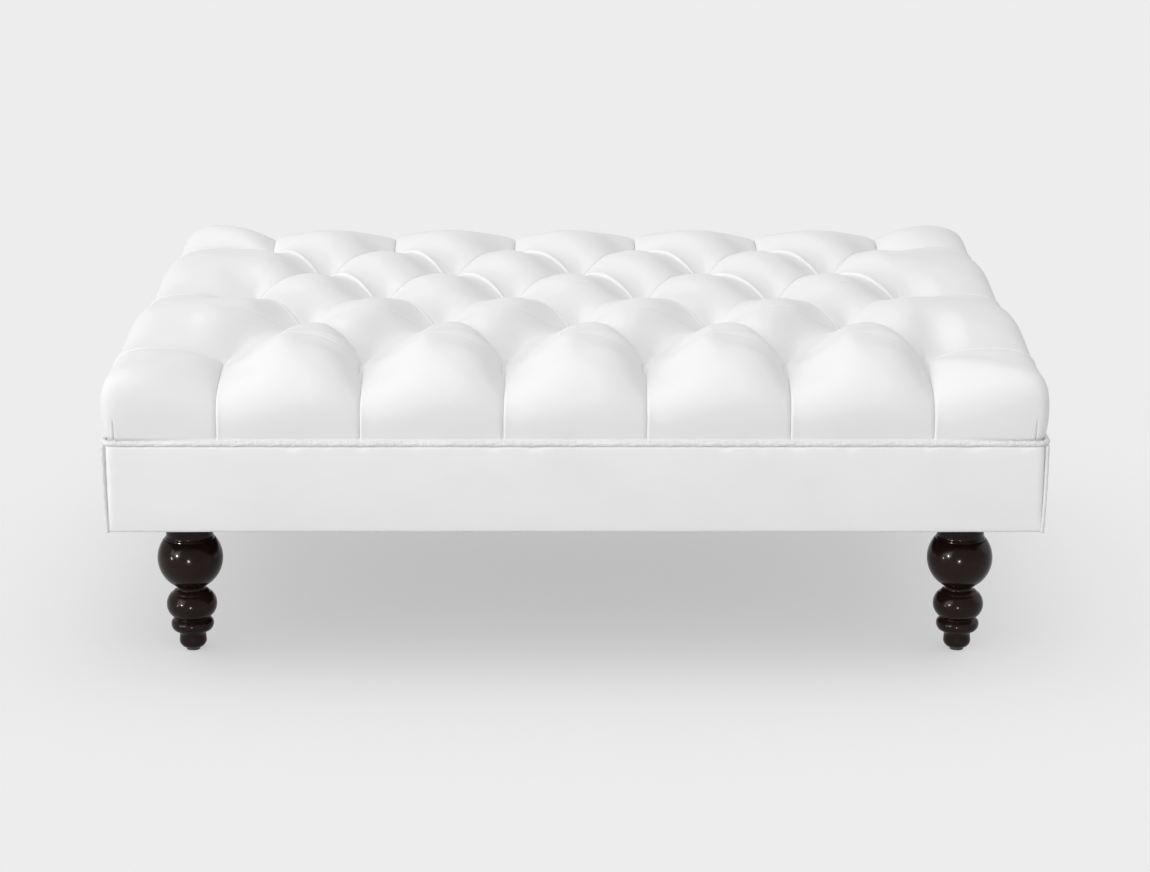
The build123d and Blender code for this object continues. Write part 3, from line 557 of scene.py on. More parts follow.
def archRise(a, b, row):
    # each pair of seams gives an arch, blended from the one to the other; the two arches are joined by a
    # power mean, and the product of two half domes is added
    right, left = seams["toRight"], seams["toLeft"]
    front, back = seamArch(right[row], a), seamArch(right[row + 1], a)
    near, far = seamArch(left[row], b), seamArch(left[row + 1], b)
    alongRight = front + (back - front) * smoothStep(b, 0, 1)
    alongLeft = near + (far - near) * smoothStep(a, 0, 1)
    arches = (alongRight**4 + alongLeft**4) ** 0.25
    dome = halfDomes(a, left[row][6], left[row + 1][6]) * halfDomes(b, right[row][6], right[row + 1][6])
    return arches + cushion["dome"][row] * dome


def frontRise(a, b):
    # behind the front crest line: the line fades to the back tuft, and the two seams' arches are blended from
    # the left one to the right one
    behind = np.clip(a + b - 1, 0, 1)
    along = np.clip((a - b) / np.maximum(1 - behind, 1e-6) / 2 + 0.5, 0, 1)
    left, right = seamArch(seams["toRight"][1], behind), seamArch(seams["toLeft"][1], behind)
    return left + (right - left) * smoothStep(along, 0, 1) + rowCrest(along) * (1 - behind) ** frontCrest["fade"]


def diamondRise(a, b, row):
    # pillow's height over its tufts. a and b run from its front tuft to the right one and the left one, and
    # row counts the row of those two from 0 at the front
    return frontRise(a, b) if row == 0 else archRise(a, b, row)


def foldLip(away):
    # rises from 0 at the seam to 1 at the lip's reach and dies out behind it
    return away / cushion["lipReach"] * np.exp(1 - away / cushion["lipReach"])


def foldRoll(away):
    # a round roll beside the seam: a bell over its middle, 0 at the seam itself
    bell = np.exp(-(((away - seams["rollAt"]) / seams["rollWidth"]) ** 2))
    return bell * (1 - np.exp(-away / seams["grooveReach"] * 2))


def diamondFold(a, b, row):
    # grooves at the four seams, which fall off exponentially, and rolls at the back two; all fade at the tufts
    right, left = seams["toRight"], seams["toLeft"]
    total = 0 * a * b
    for seam, away, along, rolled in (
        (right[row], b, a, False), (right[row + 1], 1 - b, a, True),
        (left[row], a, b, False), (left[row + 1], 1 - a, b, True),
    ):
        fade = np.sin(np.pi * np.clip(along, 0, 1)).clip(0) ** 0.5
        away = away * seamSpacing
        total = total - seam[4] * np.exp(-away / seams["grooveReach"]) * fade
        if rolled:
            total = total + seam[5] * foldRoll(away) * fade
    return total


def diamondPoints(x, y, a, b, row):
    # places in plan over a diamond round (x, y), from its front tuft along its two front seams
    across = (a - b) * cushion["pitch"] / 2
    along = (a + b - 1) * cushion["rowPitch"]
    level = tuftLevel + diamondRise(a, b, row) + diamondFold(a, b, row)
    return np.stack([x + across, y + along, level], axis=-1)


def outwardWay(outline):
    # unit vectors square to an outline of (inwards, up) points, out of the cushion
    way = np.gradient(outline, axis=-2)
    out = np.stack([-way[..., 1], way[..., 0]], axis=-1)
    return out / np.linalg.norm(out, axis=-1, keepdims=True)


def rowSlope(a, b, row, stepA, stepB):
    # slope of a diamond where it meets its edge pillow: the rise over a small step away from it
    run = math.hypot((stepA - stepB) * cushion["pitch"] / 2, (stepA + stepB) * cushion["rowPitch"])
    return (diamondRise(a + stepA, b + stepB, row) - diamondRise(a, b, row)) / run


def edgeStrip(name, width, a, b, row, stepA, stepB):
    # an edge pillow as (inwards, up): its outline goes from the seam's to the crest's and back, and turns
    # into the diamond's own row of heights and slopes where it meets it
    rowRise, rowFold = diamondRise(a, b, row), diamondFold(a, b, row)
    slope = rowSlope(a, b, row, stepA, stepB)
    look = edgeSeams[name]
    across = pleatPlaces[:, None]
    inwards = inwardPlaces[None, :]
    seam = smoothPath(edgeOutlines[name + "Seam"], inwards) * mm
    crest = smoothPath(edgeOutlines[name + "Crest"], inwards) * mm
    turn = smoothStep(seam[..., 0] / seam[0, -1, 0], look["turnFrom"], 1.0)
    if name == "front":
        full = 1 - np.abs(2 * across ** look["lean"] - 1) ** look["power"]
    else:
        full = np.sin(np.pi * across ** look["lean"]).clip(0) ** look["power"]
    top = rowRise[:, None] / rowRise.max()
    outline = seam + (crest - seam) * ((1 - turn) * full + turn * top)[..., None]
    crown = (crest[0, -1, 1] - seam[0, -1, 1]) * top
    outline[..., 1] += turn * (rowRise[:, None] - crown + rowFold[:, None])
    last = outline[:, -1] - outline[:, -2]
    left = outline[:, -1:, 0] - outline[..., 0]
    ease = (1 - np.abs(2 * across - 1) ** cushion["easePower"]) * left
    ease = ease * (1 - smoothStep(left, 0, cushion["easeOver"]))
    outline[..., 1] -= (slope - last[:, 1] / last[:, 0])[:, None] * ease
    near, far = across * width, (1 - across) * width
    fold = look["lip"] * foldLip(near)
    fold = fold - look["groove"] * (np.exp(-near / look["reach"]) + np.exp(-far / look["reach"]))
    return outline + outwardWay(seam) * (fold * (1 - smoothStep(inwards, *cushion["foldFades"])))[..., None]


def skirt(edgeRow, ringAt):
    # closes the cushion under its edge: behind the welt, round the foam's hollow and over its top
    hollow = cushion["halfWidth"] - foamCavity["halfWidth"]
    rings = [
        edgeRow,
        ringAt(foamCavity["behindWelt"], cushion["base"] - foamCavity["underWelt"]),
        ringAt(foamCavity["behindWelt"], foamCavity["bottom"]),
        ringAt(hollow, foamCavity["bottom"]),
        ringAt(hollow, foamCavity["top"] - foamCavity["chamfer"]),
        ringAt(hollow + foamCavity["chamfer"], foamCavity["top"]),
        np.zeros_like(edgeRow) + (0, 0, foamCavity["top"]),
    ]
    return np.stack(rings, axis=1)


def edgePatches(strip, along, face, end, alongX):
    # an edge pillow and its skirt in place: along is the places beside the edge, along x or else y, and face
    # the distance of the edge's face from the middle
    def placed(inwards, up):
        # points from distances in from the face and from levels
        out = end * (face - inwards)
        parts = (along, out, up) if alongX else (out, along, up)
        return np.stack(np.broadcast_arrays(*parts), axis=-1)

    points = placed(strip[..., 0], cushion["base"] + strip[..., 1])
    return [points, skirt(points[:, 0], lambda inset, level: placed(inset, level)[:, 0])]


def cushionPatches():
    # half a diamond: its own base line runs from tuft to tuft, and its grid narrows to the third tuft
    half = pleatPlaces[:, None] * (1 - pleatPlaces[None, :])
    halfA, halfB = pleatPlaces[None, :] + half, 1 - half
    fullA, fullB = np.meshgrid(pleatPlaces, pleatPlaces, indexing="ij")
    patches = []
    # whole diamonds
    for row, count in ((1, 4), (2, 5), (3, 4)):
        for place in range(count):
            x = (place - (count - 1) / 2) * cushion["pitch"]
            patches.append(diamondPoints(x, (row - 2) * cushion["rowPitch"], fullA, fullB, row))
    # front and back pillows, each with the half diamond behind it
    for end, name, row in ((-1, "front", 0), (1, "back", 4)):
        step = -end * slopeStep
        strip = edgeStrip(name, cushion["pitch"], pleatPlaces, 1 - pleatPlaces, row, step, step)
        a, b = (halfA, halfB) if end < 0 else (1 - halfB, 1 - halfA)
        for place in range(5):
            x = (place - 2) * cushion["pitch"]
            patches.append(diamondPoints(x, end * outerRow, a, b, row))
            columns = (x + (pleatPlaces - 0.5) * cushion["pitch"])[:, None]
            patches += edgePatches(strip, columns, cushion["halfDepth"], end, True)
    # side pillows, each with the half diamond beside it
    for row in (1, 3):
        y = (row - 2) * cushion["rowPitch"]
        rows = (y + (2 * pleatPlaces - 1) * cushion["rowPitch"])[:, None]
        for side in (-1, 1):
            step = -side * slopeStep
            strip = edgeStrip("side", 2 * cushion["rowPitch"], pleatPlaces, pleatPlaces, row, step, -step)
            a, b = (halfA, half) if side < 0 else (half, halfA)
            patches.append(diamondPoints(side * outerColumn, y, a, b, row))
            patches += edgePatches(strip, rows, cushion["halfWidth"], side, False)
    for side in (-1, 1):
        for end in (-1, 1):
            patches += cornerPatches(side, end)
    return patches


def cornerPatches(side, end):
    # a corner pillow as a fan round its tuft: each line of it goes from the edge in to the tuft along
    # an outline between the two seams' and the crest's, and the plan's corner rounds off as it rises
    endName = "front" if end < 0 else "back"
    dartAt = sideRun - dart["inset"]
    dartLines = (dartAt + np.arange(*dart["lines"]) * mm) / sideRun / 2
    turn = np.unique(np.concatenate([seamToSeam(2 * sideRun), [0.5], dartLines]))[:, None]
    inwards = inwardPlaces[None, :]
    blend = smoothStep(turn, *cornerFan["blend"])[..., None]
    endSeam, sideSeam, crest = (
        smoothPath(edgeOutlines[name], inwards) * mm
        for name in (endName + "Seam", "sideSeam", endName + "CornerCrest")
    )
    out = outwardWay(endSeam) + (outwardWay(sideSeam) - outwardWay(endSeam)) * blend
    endSeam, sideSeam, crest = endSeam / (frontRun, 1), sideSeam / (sideRun, 1), crest / (sideRun, 1)
    seam = endSeam + (sideSeam - endSeam) * blend
    atEnd, atSide = cornerFan["powers"]
    full = np.sin(np.pi * turn).clip(0) ** (atEnd + (atSide - atEnd) * smoothStep(turn, 0.5, 1))
    outline = seam + (crest - seam) * full[..., None]
    # plan, in shares of the two runs: out to the face along x first, then back along y
    x, y = np.minimum(2 * turn, 1), np.minimum(2 - 2 * turn, 1)
    square, rounded = cornerFan["squareness"]
    squareness = square + (rounded - square) * smoothStep(inwards, *cornerFan["rounds"])
    shrink = (x**squareness + y**squareness) ** (-1 / squareness)
    reach = 1 - outline[..., 0]
    planX, planY = x * shrink * reach * sideRun, y * shrink * reach * frontRun
    up = outline[..., 1]
    # grooves, raised line and lip, as in the neighbouring pillows
    fold = 0 * planX
    for look, away in ((edgeSeams[endName], planX), (edgeSeams["side"], planY)):
        fold = fold - look["groove"] * np.exp(-away / look["reach"])
    if side > 0:
        fold = fold + edgeSeams[endName]["lip"] * foldLip(planX)
    fold = fold * (1 - smoothStep(inwards, *cushion["foldFades"]))
    length = np.hypot(x, y)
    planX = planX - fold * out[..., 0] * x / length
    planY = planY - fold * out[..., 0] * y / length
    up = up + fold * out[..., 1]
    # the dart: a short groove up from the welt
    groove = np.exp(-(((planX - dartAt) / dart["halfWidth"]) ** 2))
    groove = groove * smoothStep(planY / frontRun, *dart["setsIn"])
    planY = planY - dart["depth"] * groove * smoothStep(dart["height"] - up, 0, dart["fadeOver"])
    points = np.stack([
        side * (outerColumn + planX), end * (outerRow + planY), cushion["base"] + up
    ], axis=-1)

    def ringAt(inset, level):
        # the fan's own line at the edge, drawn in by the inset
        ringX = (x * shrink[:, :1])[:, 0] * (sideRun - inset)
        ringY = (y * shrink[:, :1])[:, 0] * (frontRun - inset)
        return np.stack([side * (outerColumn + ringX), end * (outerRow + ringY), 0 * ringX + level], axis=-1)

    return [points, skirt(points[:, 0], ringAt)]


def settle(points):
    # what holds for every pillow alike: a pit at each tuft, and small unevenness that leaves the edge alone
    lift = smoothStep(points[..., 2], cushion["base"] + cushion["settleFrom"], tuftLevel)
    apart = np.linalg.norm(points[..., None, :2] - tufts, axis=-1).min(axis=-1)
    flat = points * (1, 1, 0)
    lengths = (*cushion["wanderLengths"], cushion["unevenLengths"])
    sizes = (cushion["wander"], cushion["wander"], cushion["unevenness"])
    move = np.stack([
        size * waves(flat, some, seed) for size, some, seed in zip(sizes, lengths, cushion["seeds"])
    ], axis=-1)
    move[..., 2] -= cushion["pitDepth"] * np.exp(-((apart / cushion["pitRadius"]) ** 2))
    return points + lift[..., None] * move


def creaseValues(points):
    # distance from the nearest crease, measured back from it, and how strong that crease is there. A crease's
    # place in front of its row goes straight from its middle on, through the one beside the tuft, and meets
    # the row again at the tuft
    draw = np.random.default_rng(creases["seed"])
    edge = creases["reach"] - creases["fadeOver"], creases["reach"]
    shape = points.shape[:2]
    nearest, away, strength = np.full(shape, 1.0), np.zeros(shape), np.zeros(shape)
    for row, (middle, beside) in enumerate(zip(creases["inFront"], creases["besideTuft"])):
        cells = points[..., 0] / cushion["pitch"] + (5 - row % 2) / 2
        along = cells - np.floor(cells)
        cell = np.clip(np.floor(cells).astype(int) + 1, 0, 6)
        shift = draw.uniform(-creases["shift"], creases["shift"], 7)[cell]
        force = draw.uniform(*creases["force"], 7)[cell]
        inFront = middle + shift + (beside - middle) * ((along - 0.5) / 0.25)
        inFront = inFront * (1 - smoothStep(along, *creases["meetsRow"]))
        behind = points[..., 1] - ((row - 2) * cushion["rowPitch"] - inFront)
        window = between(along, *creases["along"]) * (1 - smoothStep(np.abs(behind), *edge))
        window = window * (points[..., 2] > tuftLevel) * (np.abs(points[..., 0]) < outerColumn)
        nearer = np.abs(behind) < nearest
        nearest = np.where(nearer, np.abs(behind), nearest)
        away, strength = np.where(nearer, behind, away), np.where(nearer, force * window, strength)
    # the seams of the side pillows
    out = np.abs(points[..., 0]) - outerColumn
    behind = points[..., 1] - np.clip(np.round(points[..., 1] / outerRow), -1, 1) * outerRow
    window = between(out, *creases["sideAlong"]) * (1 - smoothStep(np.abs(behind), *edge))
    beside = out > 0
    return np.where(beside, behind, away), np.where(beside, creases["sideStrength"] * window, strength)


cushionGrids = [settle(points) for points in cushionPatches()]
creaseGrids = [creaseValues(points) for points in cushionGrids]
cushionTop = addPiece(
    "tuftedCushion", cushionGrids, tuftedVelvetPaintedDarker, ["tufted_cover"],
    {"creaseAway": [pair[0] for pair in creaseGrids], "creaseAndHighlightStrength": [pair[1] for pair in creaseGrids]},
)
print("tufted cushion made,", len(cushionTop.data.polygons), "faces")


# Piping round the edge
piping = {
    "halfWidth": 0.606,
    "halfDepth": 0.441,
    "cornerRadius": 0.0155,
    "level": 0.310,
    "radius": 0.0036,
    "pucker": 0.00017,
    "beats": (97, 173, 251, 337, 431, 547, 661, 787, 919),  # puckers in one round
    "seed": 11,
    "steps": 3200,
    "roundSteps": 16,
    "flangeOutline": [(-2.2, -3.2), (-8.0, -3.2), (-8.0, -24)],  # in from the middle and up, in mm
    "flangeThickness": 0.0012,
}


def roundedLoop(halfWidth, halfDepth, radius, steps):
    # places and outward ways round a rectangle with rounded corners, evenly spaced, closed
    straights = np.array([2 * (halfDepth - radius), 2 * (halfWidth - radius)] * 2)
    quarter = radius * math.pi / 2
    ends = np.cumsum(np.stack([straights, np.full(4, quarter)], axis=1).ravel())
    starts = np.concatenate([[0], ends[:-1]])
    along = np.linspace(0, ends[-1], steps + 1)
    along[-1] = 0
    leg = np.searchsorted(ends, along, side="right")
    rest = along - starts[leg]
    side = leg // 2
    corner = leg % 2 == 1
    turned = side * math.pi / 2 + np.where(corner, rest / radius, 0)
    way = np.stack([np.cos(turned), np.sin(turned)], axis=-1)
    centres = np.array([(1, 1), (-1, 1), (-1, -1), (1, -1)]) * (halfWidth - radius, halfDepth - radius)
    before = np.roll(centres, 1, axis=0)
    ahead = np.stack([-np.sin(side * math.pi / 2), np.cos(side * math.pi / 2)], axis=-1)
    straight = before[side] + ahead * rest[:, None]
    middle = np.where(corner[:, None], centres[side], straight)
    return middle + way * radius, way, along / ends[-1]


def loopTube(place, way, share):
    # a circle carried round the loop, its radius puckered by waves that close on themselves
    turn = np.linspace(0, 2 * math.pi, piping["roundSteps"] + 1)[None, :]
    draw = np.random.default_rng(piping["seed"])
    size = np.full((len(share), turn.size), piping["radius"])
    for beats in piping["beats"]:
        twist = draw.integers(-4, 5)
        wave = np.sin(2 * math.pi * beats * share[:, None] + twist * turn + draw.uniform(0, 6))
        size += piping["pucker"] * wave
    size[-1] = size[0]
    out = size * np.cos(turn)
    return np.concatenate([
        place[:, None] + way[:, None] * out[..., None], (piping["level"] + size * np.sin(turn))[..., None]
    ], axis=-1)


place, way, share = roundedLoop(piping["halfWidth"], piping["halfDepth"], piping["cornerRadius"], piping["steps"])
tube = loopTube(place, way, share)
# the sewing flange behind the border
flangeOutline = np.array(piping["flangeOutline"]) * mm
thin = np.array([(0, -1), (1, -1), (1, 0)]) * piping["flangeThickness"]
flange = np.stack([flangeOutline, flangeOutline + thin], axis=1)
flangeBody = np.concatenate([
    place[:, None, None] + way[:, None, None] * flange[None, ..., :1],
    np.broadcast_to(piping["level"] + flange[None, ..., 1:], (len(place), 3, 2, 1)),
], axis=-1)
addPiece(
    "edgePiping", [tube] + wallPatches(flangeBody)[:4], pipingVelvetPaintedDarker, ["welt_cover"]
)
print("piping made")


# Border panels: wadding and velvet as one padded panel on each side
border = {
    "railBottom": 0.192,
    "bottom": 0.1905,
    "top": 0.306,
    "frameHalfWidth": 0.5965,
    "frameHalfDepth": 0.4315,
    "panelHalfWidth": 0.6012,
    "panelHalfDepth": 0.4362,
    "padding": 0.0075,
    "crown": 0.0052,
    "crownPower": 2.4,
    "endReach": 0.0025,  # beside the corners the swell falls to what is left
    "endLoss": 0.75,
    "endTuck": 0.0008,
    "hem": 0.0035,  # round bend at the bottom edge
    "hemBend": 0.0010,
    "hemInside": 0.004,
    "underReach": 0.030,
    "gap": 0.0003,  # to the rail
    "turnedIn": 0.0002,  # below the rail, where the cloth turns in
    "ripple": 0.0004,
    "rippleLengths": (0.05, 0.083, 0.12, 0.19),
    "tuck": 0.0006,
    "tuckFalls": 30,
    "gather": 0.0030,
    "gatherLengths": (0.0085, 0.012, 0.017, 0.026, 0.041),
    "gatherFrom": (0.2, 1.5),
    "seeds": (21, 22),
    "steps": 360,
    "heightSteps": 30,
    "crowding": (0.35, 0.55),  # along and up
}


def borderBody(length, out, under):
    # block of points (along, round the outline, outside or inside) of one panel, as (along, outwards, up).
    # The face swells from its bottom up along 1 less a falling power, and tucks in under the piping, most
    # where the cloth is gathered, and beside the corners
    bottom, hem, inside = border["bottom"], border["hem"], border["hemInside"]
    along = (2 * crowded(border["steps"], border["crowding"][0]) - 1)[:, None] * length
    rise = crowded(border["heightSteps"], border["crowding"][1])[None, :]
    level = bottom + hem + rise * (border["top"] - bottom - hem)
    spots = np.stack(np.broadcast_arrays(along, 0 * rise + out, level), axis=-1)
    nearEnd = np.exp(-(length - np.abs(along)) / border["endReach"])
    ends = 1 - border["endLoss"] * nearEnd
    swell = border["crown"] * (1 - (1 - rise) ** border["crownPower"])
    gathers = waves(spots * (1, 0, 0), border["gatherLengths"], border["seeds"][0])
    ripple = border["ripple"] * waves(spots, border["rippleLengths"], border["seeds"][1])
    tuck = border["tuck"] + border["gather"] * smoothStep(gathers, *border["gatherFrom"])
    face = border["padding"] + (swell + ripple) * ends
    face = face - np.exp(-(1 - rise) * border["tuckFalls"]) * tuck - border["endTuck"] * nearEnd
    # under the panel the cloth turns in, up to its edge under the rail
    edge = face[:, :1]
    turned = [0 * edge - border["underReach"], 0 * edge - inside, edge - hem, edge - border["hemBend"]]
    outside = np.concatenate([*turned, face], axis=1)
    levels = np.concatenate([[[bottom, bottom, bottom, bottom + border["hemBend"]]], level], axis=1) + 0 * outside
    inner = np.full_like(outside, border["gap"])
    innerLevels = np.maximum(levels, border["railBottom"] + border["gap"])
    inner[:, 0] = -border["underReach"]
    inner[:, 1:3] = (-inside, -inside / 2)
    innerLevels[:, :3] = border["railBottom"] - border["turnedIn"]
    alongs = np.repeat(along, outside.shape[1], axis=1)
    alongs[:, :3] = np.clip(along, -under, under)
    return np.stack([
        np.stack([alongs, outside, levels], axis=-1), np.stack([alongs, inner, innerLevels], axis=-1)
    ], axis=2)


for side, alongX, sign in (("front", True, -1), ("back", True, 1), ("left", False, -1), ("right", False, 1)):
    length = border["panelHalfWidth"] if alongX else border["panelHalfDepth"]
    faceAt = border["frameHalfDepth"] if alongX else border["frameHalfWidth"]
    under = length if alongX else border["frameHalfDepth"] - border["underReach"]
    body = borderBody(length, sign * faceAt, under)
    outwards = sign * (faceAt + body[..., 1])
    parts = (body[..., 0], outwards) if alongX else (outwards, body[..., 0])
    body = np.stack([*parts, body[..., 2]], axis=-1)
    panel = addPiece(
        f"border_{side}", wallPatches(body), borderVelvetPaintedLighter,
        [f"border_cover_{side}", f"border_padding_{side}"],
    )
print("border made")


# Upright piping at the corners of the border
cornerPiping = {
    "x": 0.6028,
    "y": 0.4378,
    "radius": 0.0024,
    "bow": 0.0022,
    "bottom": 0.1905,
    "top": 0.3065,
    "kinks": 0.05,
    "kinkLengths": (0.006, 0.011, 0.017),
    "firstSeed": 30,
    "steps": 60,
    "roundSteps": 16,
    "tapeHalfThickness": 0.0006,
    "tapeWidth": 0.0125,
    "tapeBelowTop": 0.0203,
}


def uprightPiping(x, y, seed):
    # a circle carried up the corner, closed at both ends, with a few soft kinks, bowed out like the border
    rise = np.concatenate([[0], np.linspace(0, 1, cornerPiping["steps"] + 1), [1]])[:, None]
    level = cornerPiping["bottom"] + rise * (cornerPiping["top"] - cornerPiping["bottom"])
    turn = np.linspace(0, 2 * math.pi, cornerPiping["roundSteps"] + 1)[None, :]
    spots = np.stack(np.broadcast_arrays(0 * rise, 0 * rise, level), axis=-1)
    size = cornerPiping["radius"] * (1 + cornerPiping["kinks"] * waves(spots, cornerPiping["kinkLengths"], seed))
    size[0], size[-1] = 0, 0
    bow = cornerPiping["bow"] * (1 - (1 - rise) ** border["crownPower"])
    return np.stack([
        x + np.sign(x) * bow + size * np.cos(turn), y + np.sign(y) * bow + size * np.sin(turn), level + 0 * turn
    ], axis=-1)


def cornerTape(x, y):
    # the tape that is stapled to the corner under the two panels
    way = np.array([-np.sign(x), -np.sign(y), 0]) / math.sqrt(2)
    across = np.array([way[1], -way[0], 0]) * cornerPiping["tapeHalfThickness"]
    start = np.array([x, y, 0])
    steps = np.array([0, cornerPiping["tapeWidth"]])
    levels = np.array([border["railBottom"], border["top"] - cornerPiping["tapeBelowTop"]])
    flat = start + way * steps[:, None]
    body = flat[:, None, None] + np.array([0, 0, 1]) * levels[None, :, None, None]
    return body + across * np.array([-1, 1])[None, None, :, None]


patches = []
for number, (side, end) in enumerate(((-1, -1), (1, -1), (-1, 1), (1, 1))):
    x, y = side * cornerPiping["x"], end * cornerPiping["y"]
    patches.append(uprightPiping(x, y, cornerPiping["firstSeed"] + number))
    patches += wallPatches(cornerTape(x, y))
addPiece("cornerPiping", patches, pipingVelvetPaintedDarker, ["corner_welts"])
print("corner piping made")


# Turned legs: (radius, height) in millimetres up the turning, with straight runs and arcs
leg = {"x": 0.510, "y": 0.345, "turnSteps": 96, "arcSteps": 40, "spacing": 0.0005, "rounding": 5}
legArcs = [
    # start, middle and end of each arc; two points are a straight run
    [(0, 3), (10, 3)],
    [(10, 3), (15.5, 6.2), (18.2, 12.5)],
    [(18.2, 12.5), (17.6, 20)],
    [(17.6, 20), (19.1, 25.3), (23.5, 28)],
    [(23.5, 28), (24.7, 28)],
    [(24.7, 28), (28.2, 34.5), (27.4, 40.5)],
    [(27.4, 40.5), (22.2, 45)],
    [(22.2, 45), (33.3, 61.5), (27, 78.9)],
    [(27, 78.9), (25.8, 78.9)],
    [(25.8, 78.9), (22.5, 82.9), (18.7, 84.9)],
    [(18.7, 84.9), (18.7, 88.9)],
    [(18.7, 88.9), (43.3, 128), (34, 154.8)],
    [(34, 154.8), (32.8, 154.8)],
    [(32.8, 154.8), (32.8, 156)],
    [(32.8, 156), (31, 159.6)],
    [(31, 159.6), (31, 192)],
    [(31, 192), (0, 192)],
]


def arcPoints(start, middle, end, count):
    # circle through three points, by its centre and the angles of the points round it
    (ax, ay), (bx, by), (cx, cy) = start, middle, end
    d = 2 * (ax * (by - cy) + bx * (cy - ay) + cx * (ay - by))
    ux = ((ax**2 + ay**2) * (by - cy) + (bx**2 + by**2) * (cy - ay) + (cx**2 + cy**2) * (ay - by)) / d
    uy = ((ax**2 + ay**2) * (cx - bx) + (bx**2 + by**2) * (ax - cx) + (cx**2 + cy**2) * (bx - ax)) / d
    first, passed, last = (math.atan2(py - uy, px - ux) for px, py in (start, middle, end))
    passed = first + (passed - first) % (2 * math.pi)
    last = first + (last - first) % (2 * math.pi)
    if passed > last:
        last -= 2 * math.pi
    turn = np.linspace(first, last, count + 1)
    radius = math.hypot(ax - ux, ay - uy)
    return np.stack([ux + radius * np.cos(turn), uy + radius * np.sin(turn)], axis=-1)


def legOutline():
    # the turning's outline at an even spacing, its edges eased by a running mean
    runs = [np.array(run, float) if len(run) == 2 else arcPoints(*run, leg["arcSteps"]) for run in legArcs]
    line = np.concatenate(runs) * mm
    steps = np.concatenate([[0], np.cumsum(np.linalg.norm(np.diff(line, axis=0), axis=1))])
    count = int(steps[-1] / leg["spacing"])
    even = np.linspace(0, steps[-1], count + 1)
    line = np.stack([np.interp(even, steps, line[:, k]) for k in (0, 1)], axis=-1)
    width = leg["rounding"]
    padded = np.pad(line, ((width // 2, width // 2), (0, 0)), mode="edge")
    eased = np.stack([np.convolve(padded[:, k], np.ones(width) / width, "valid") for k in (0, 1)], axis=-1)
    eased[0], eased[-1] = line[0], line[-1]
    return eased


def turnedLeg(x, y):
    # the outline carried once round the leg's own axis
    line = legOutline()
    turn = np.linspace(0, 2 * math.pi, leg["turnSteps"] + 1)[None, :]
    return np.stack([
        x + line[:, :1] * np.cos(turn), y + line[:, :1] * np.sin(turn), line[:, 1:] + 0 * turn
    ], axis=-1)


for corner, side, end in (
    ("front_left", -1, -1), ("front_right", 1, -1), ("back_left", -1, 1), ("back_right", 1, 1)
):
    addPiece(
        f"turned_leg_{corner}", [turnedLeg(side * leg["x"], end * leg["y"])], espressoLacquer,
        [f"leg_{corner}"],
    )
print("legs made")


# Dust cover: black cloth stapled under the frame, cut out round the legs
dustCover = {
    "halfWidth": 0.5845,
    "halfDepth": 0.4195,
    "level": 0.1901,
    "thickness": 0.0008,
    "cutout": 0.034,
    "sag": 0.0035,
    "uneven": 0.2,
    "unevenLengths": (0.11, 0.17, 0.23),
    "seed": 41,
    "steps": 24,
    "panelSteps": (80, 48),
    "holeSteps": 6,
}


def dustPatches():
    # squares round the legs go from the cutout's circle out to the square; plain panels lie between them
    reach = dustCover["halfWidth"] - leg["x"]
    even = np.linspace(-1, 1, dustCover["steps"] + 1)
    one = np.ones_like(even)
    edge = np.concatenate([
        np.stack([even, -one], -1)[:-1], np.stack([one, even], -1)[:-1],
        np.stack([-even, one], -1)[:-1], np.stack([-one, -even], -1),
    ]) * reach
    circle = edge / np.linalg.norm(edge, axis=1)[:, None] * dustCover["cutout"]
    out = np.linspace(0, 1, dustCover["holeSteps"] + 1)[None, :, None]
    ring = circle[:, None] * (1 - out) + edge[:, None] * out
    patches = [ring + (side * leg["x"], end * leg["y"]) for side in (-1, 1) for end in (-1, 1)]
    betweenX, betweenY = (
        np.linspace(-1, 1, steps + 1) * (leg[axis] - reach) for axis, steps in zip("xy", dustCover["panelSteps"])
    )
    for side in (-1, 1):
        patches.append(np.stack(np.meshgrid(even * reach + side * leg["x"], betweenY, indexing="ij"), -1))
        patches.append(np.stack(np.meshgrid(betweenX, even * reach + side * leg["y"], indexing="ij"), -1))
    patches.append(np.stack(np.meshgrid(betweenX, betweenY, indexing="ij"), -1))
    return patches


def dustSag(flat):
    # hangs as two half sine waves crossed, a little uneven, and held level at its edge
    x, y = flat[..., 0] / dustCover["halfWidth"], flat[..., 1] / dustCover["halfDepth"]
    hang = np.cos(x * math.pi / 2) * np.cos(y * math.pi / 2)
    spots = np.concatenate([flat, 0 * flat[..., :1]], axis=-1)
    uneven = 1 + dustCover["uneven"] * waves(spots, dustCover["unevenLengths"], dustCover["seed"])
    level = dustCover["level"] - hang * dustCover["sag"] * uneven
    return np.concatenate([flat, level[..., None]], axis=-1)


dustSheet = addPiece(
    "dustCover", [dustSag(flat) for flat in dustPatches()], cadMaterials["dust_cloth"],
    ["dust_cover"],
)
thicken = dustSheet.modifiers.new("thickness", "SOLIDIFY")
thicken.thickness = dustCover["thickness"]
thicken.offset = 0
print("dust cover made")


# Floor, pale and plain, which takes the shadow
floorLook = {
    "size": 60.0,
    "shade": 1.30,
    "keptShare": 0.36,  # how much of the shade's glow the camera and mirrored rays see
    "albedo": (0.9, 0.9, 0.9),
}

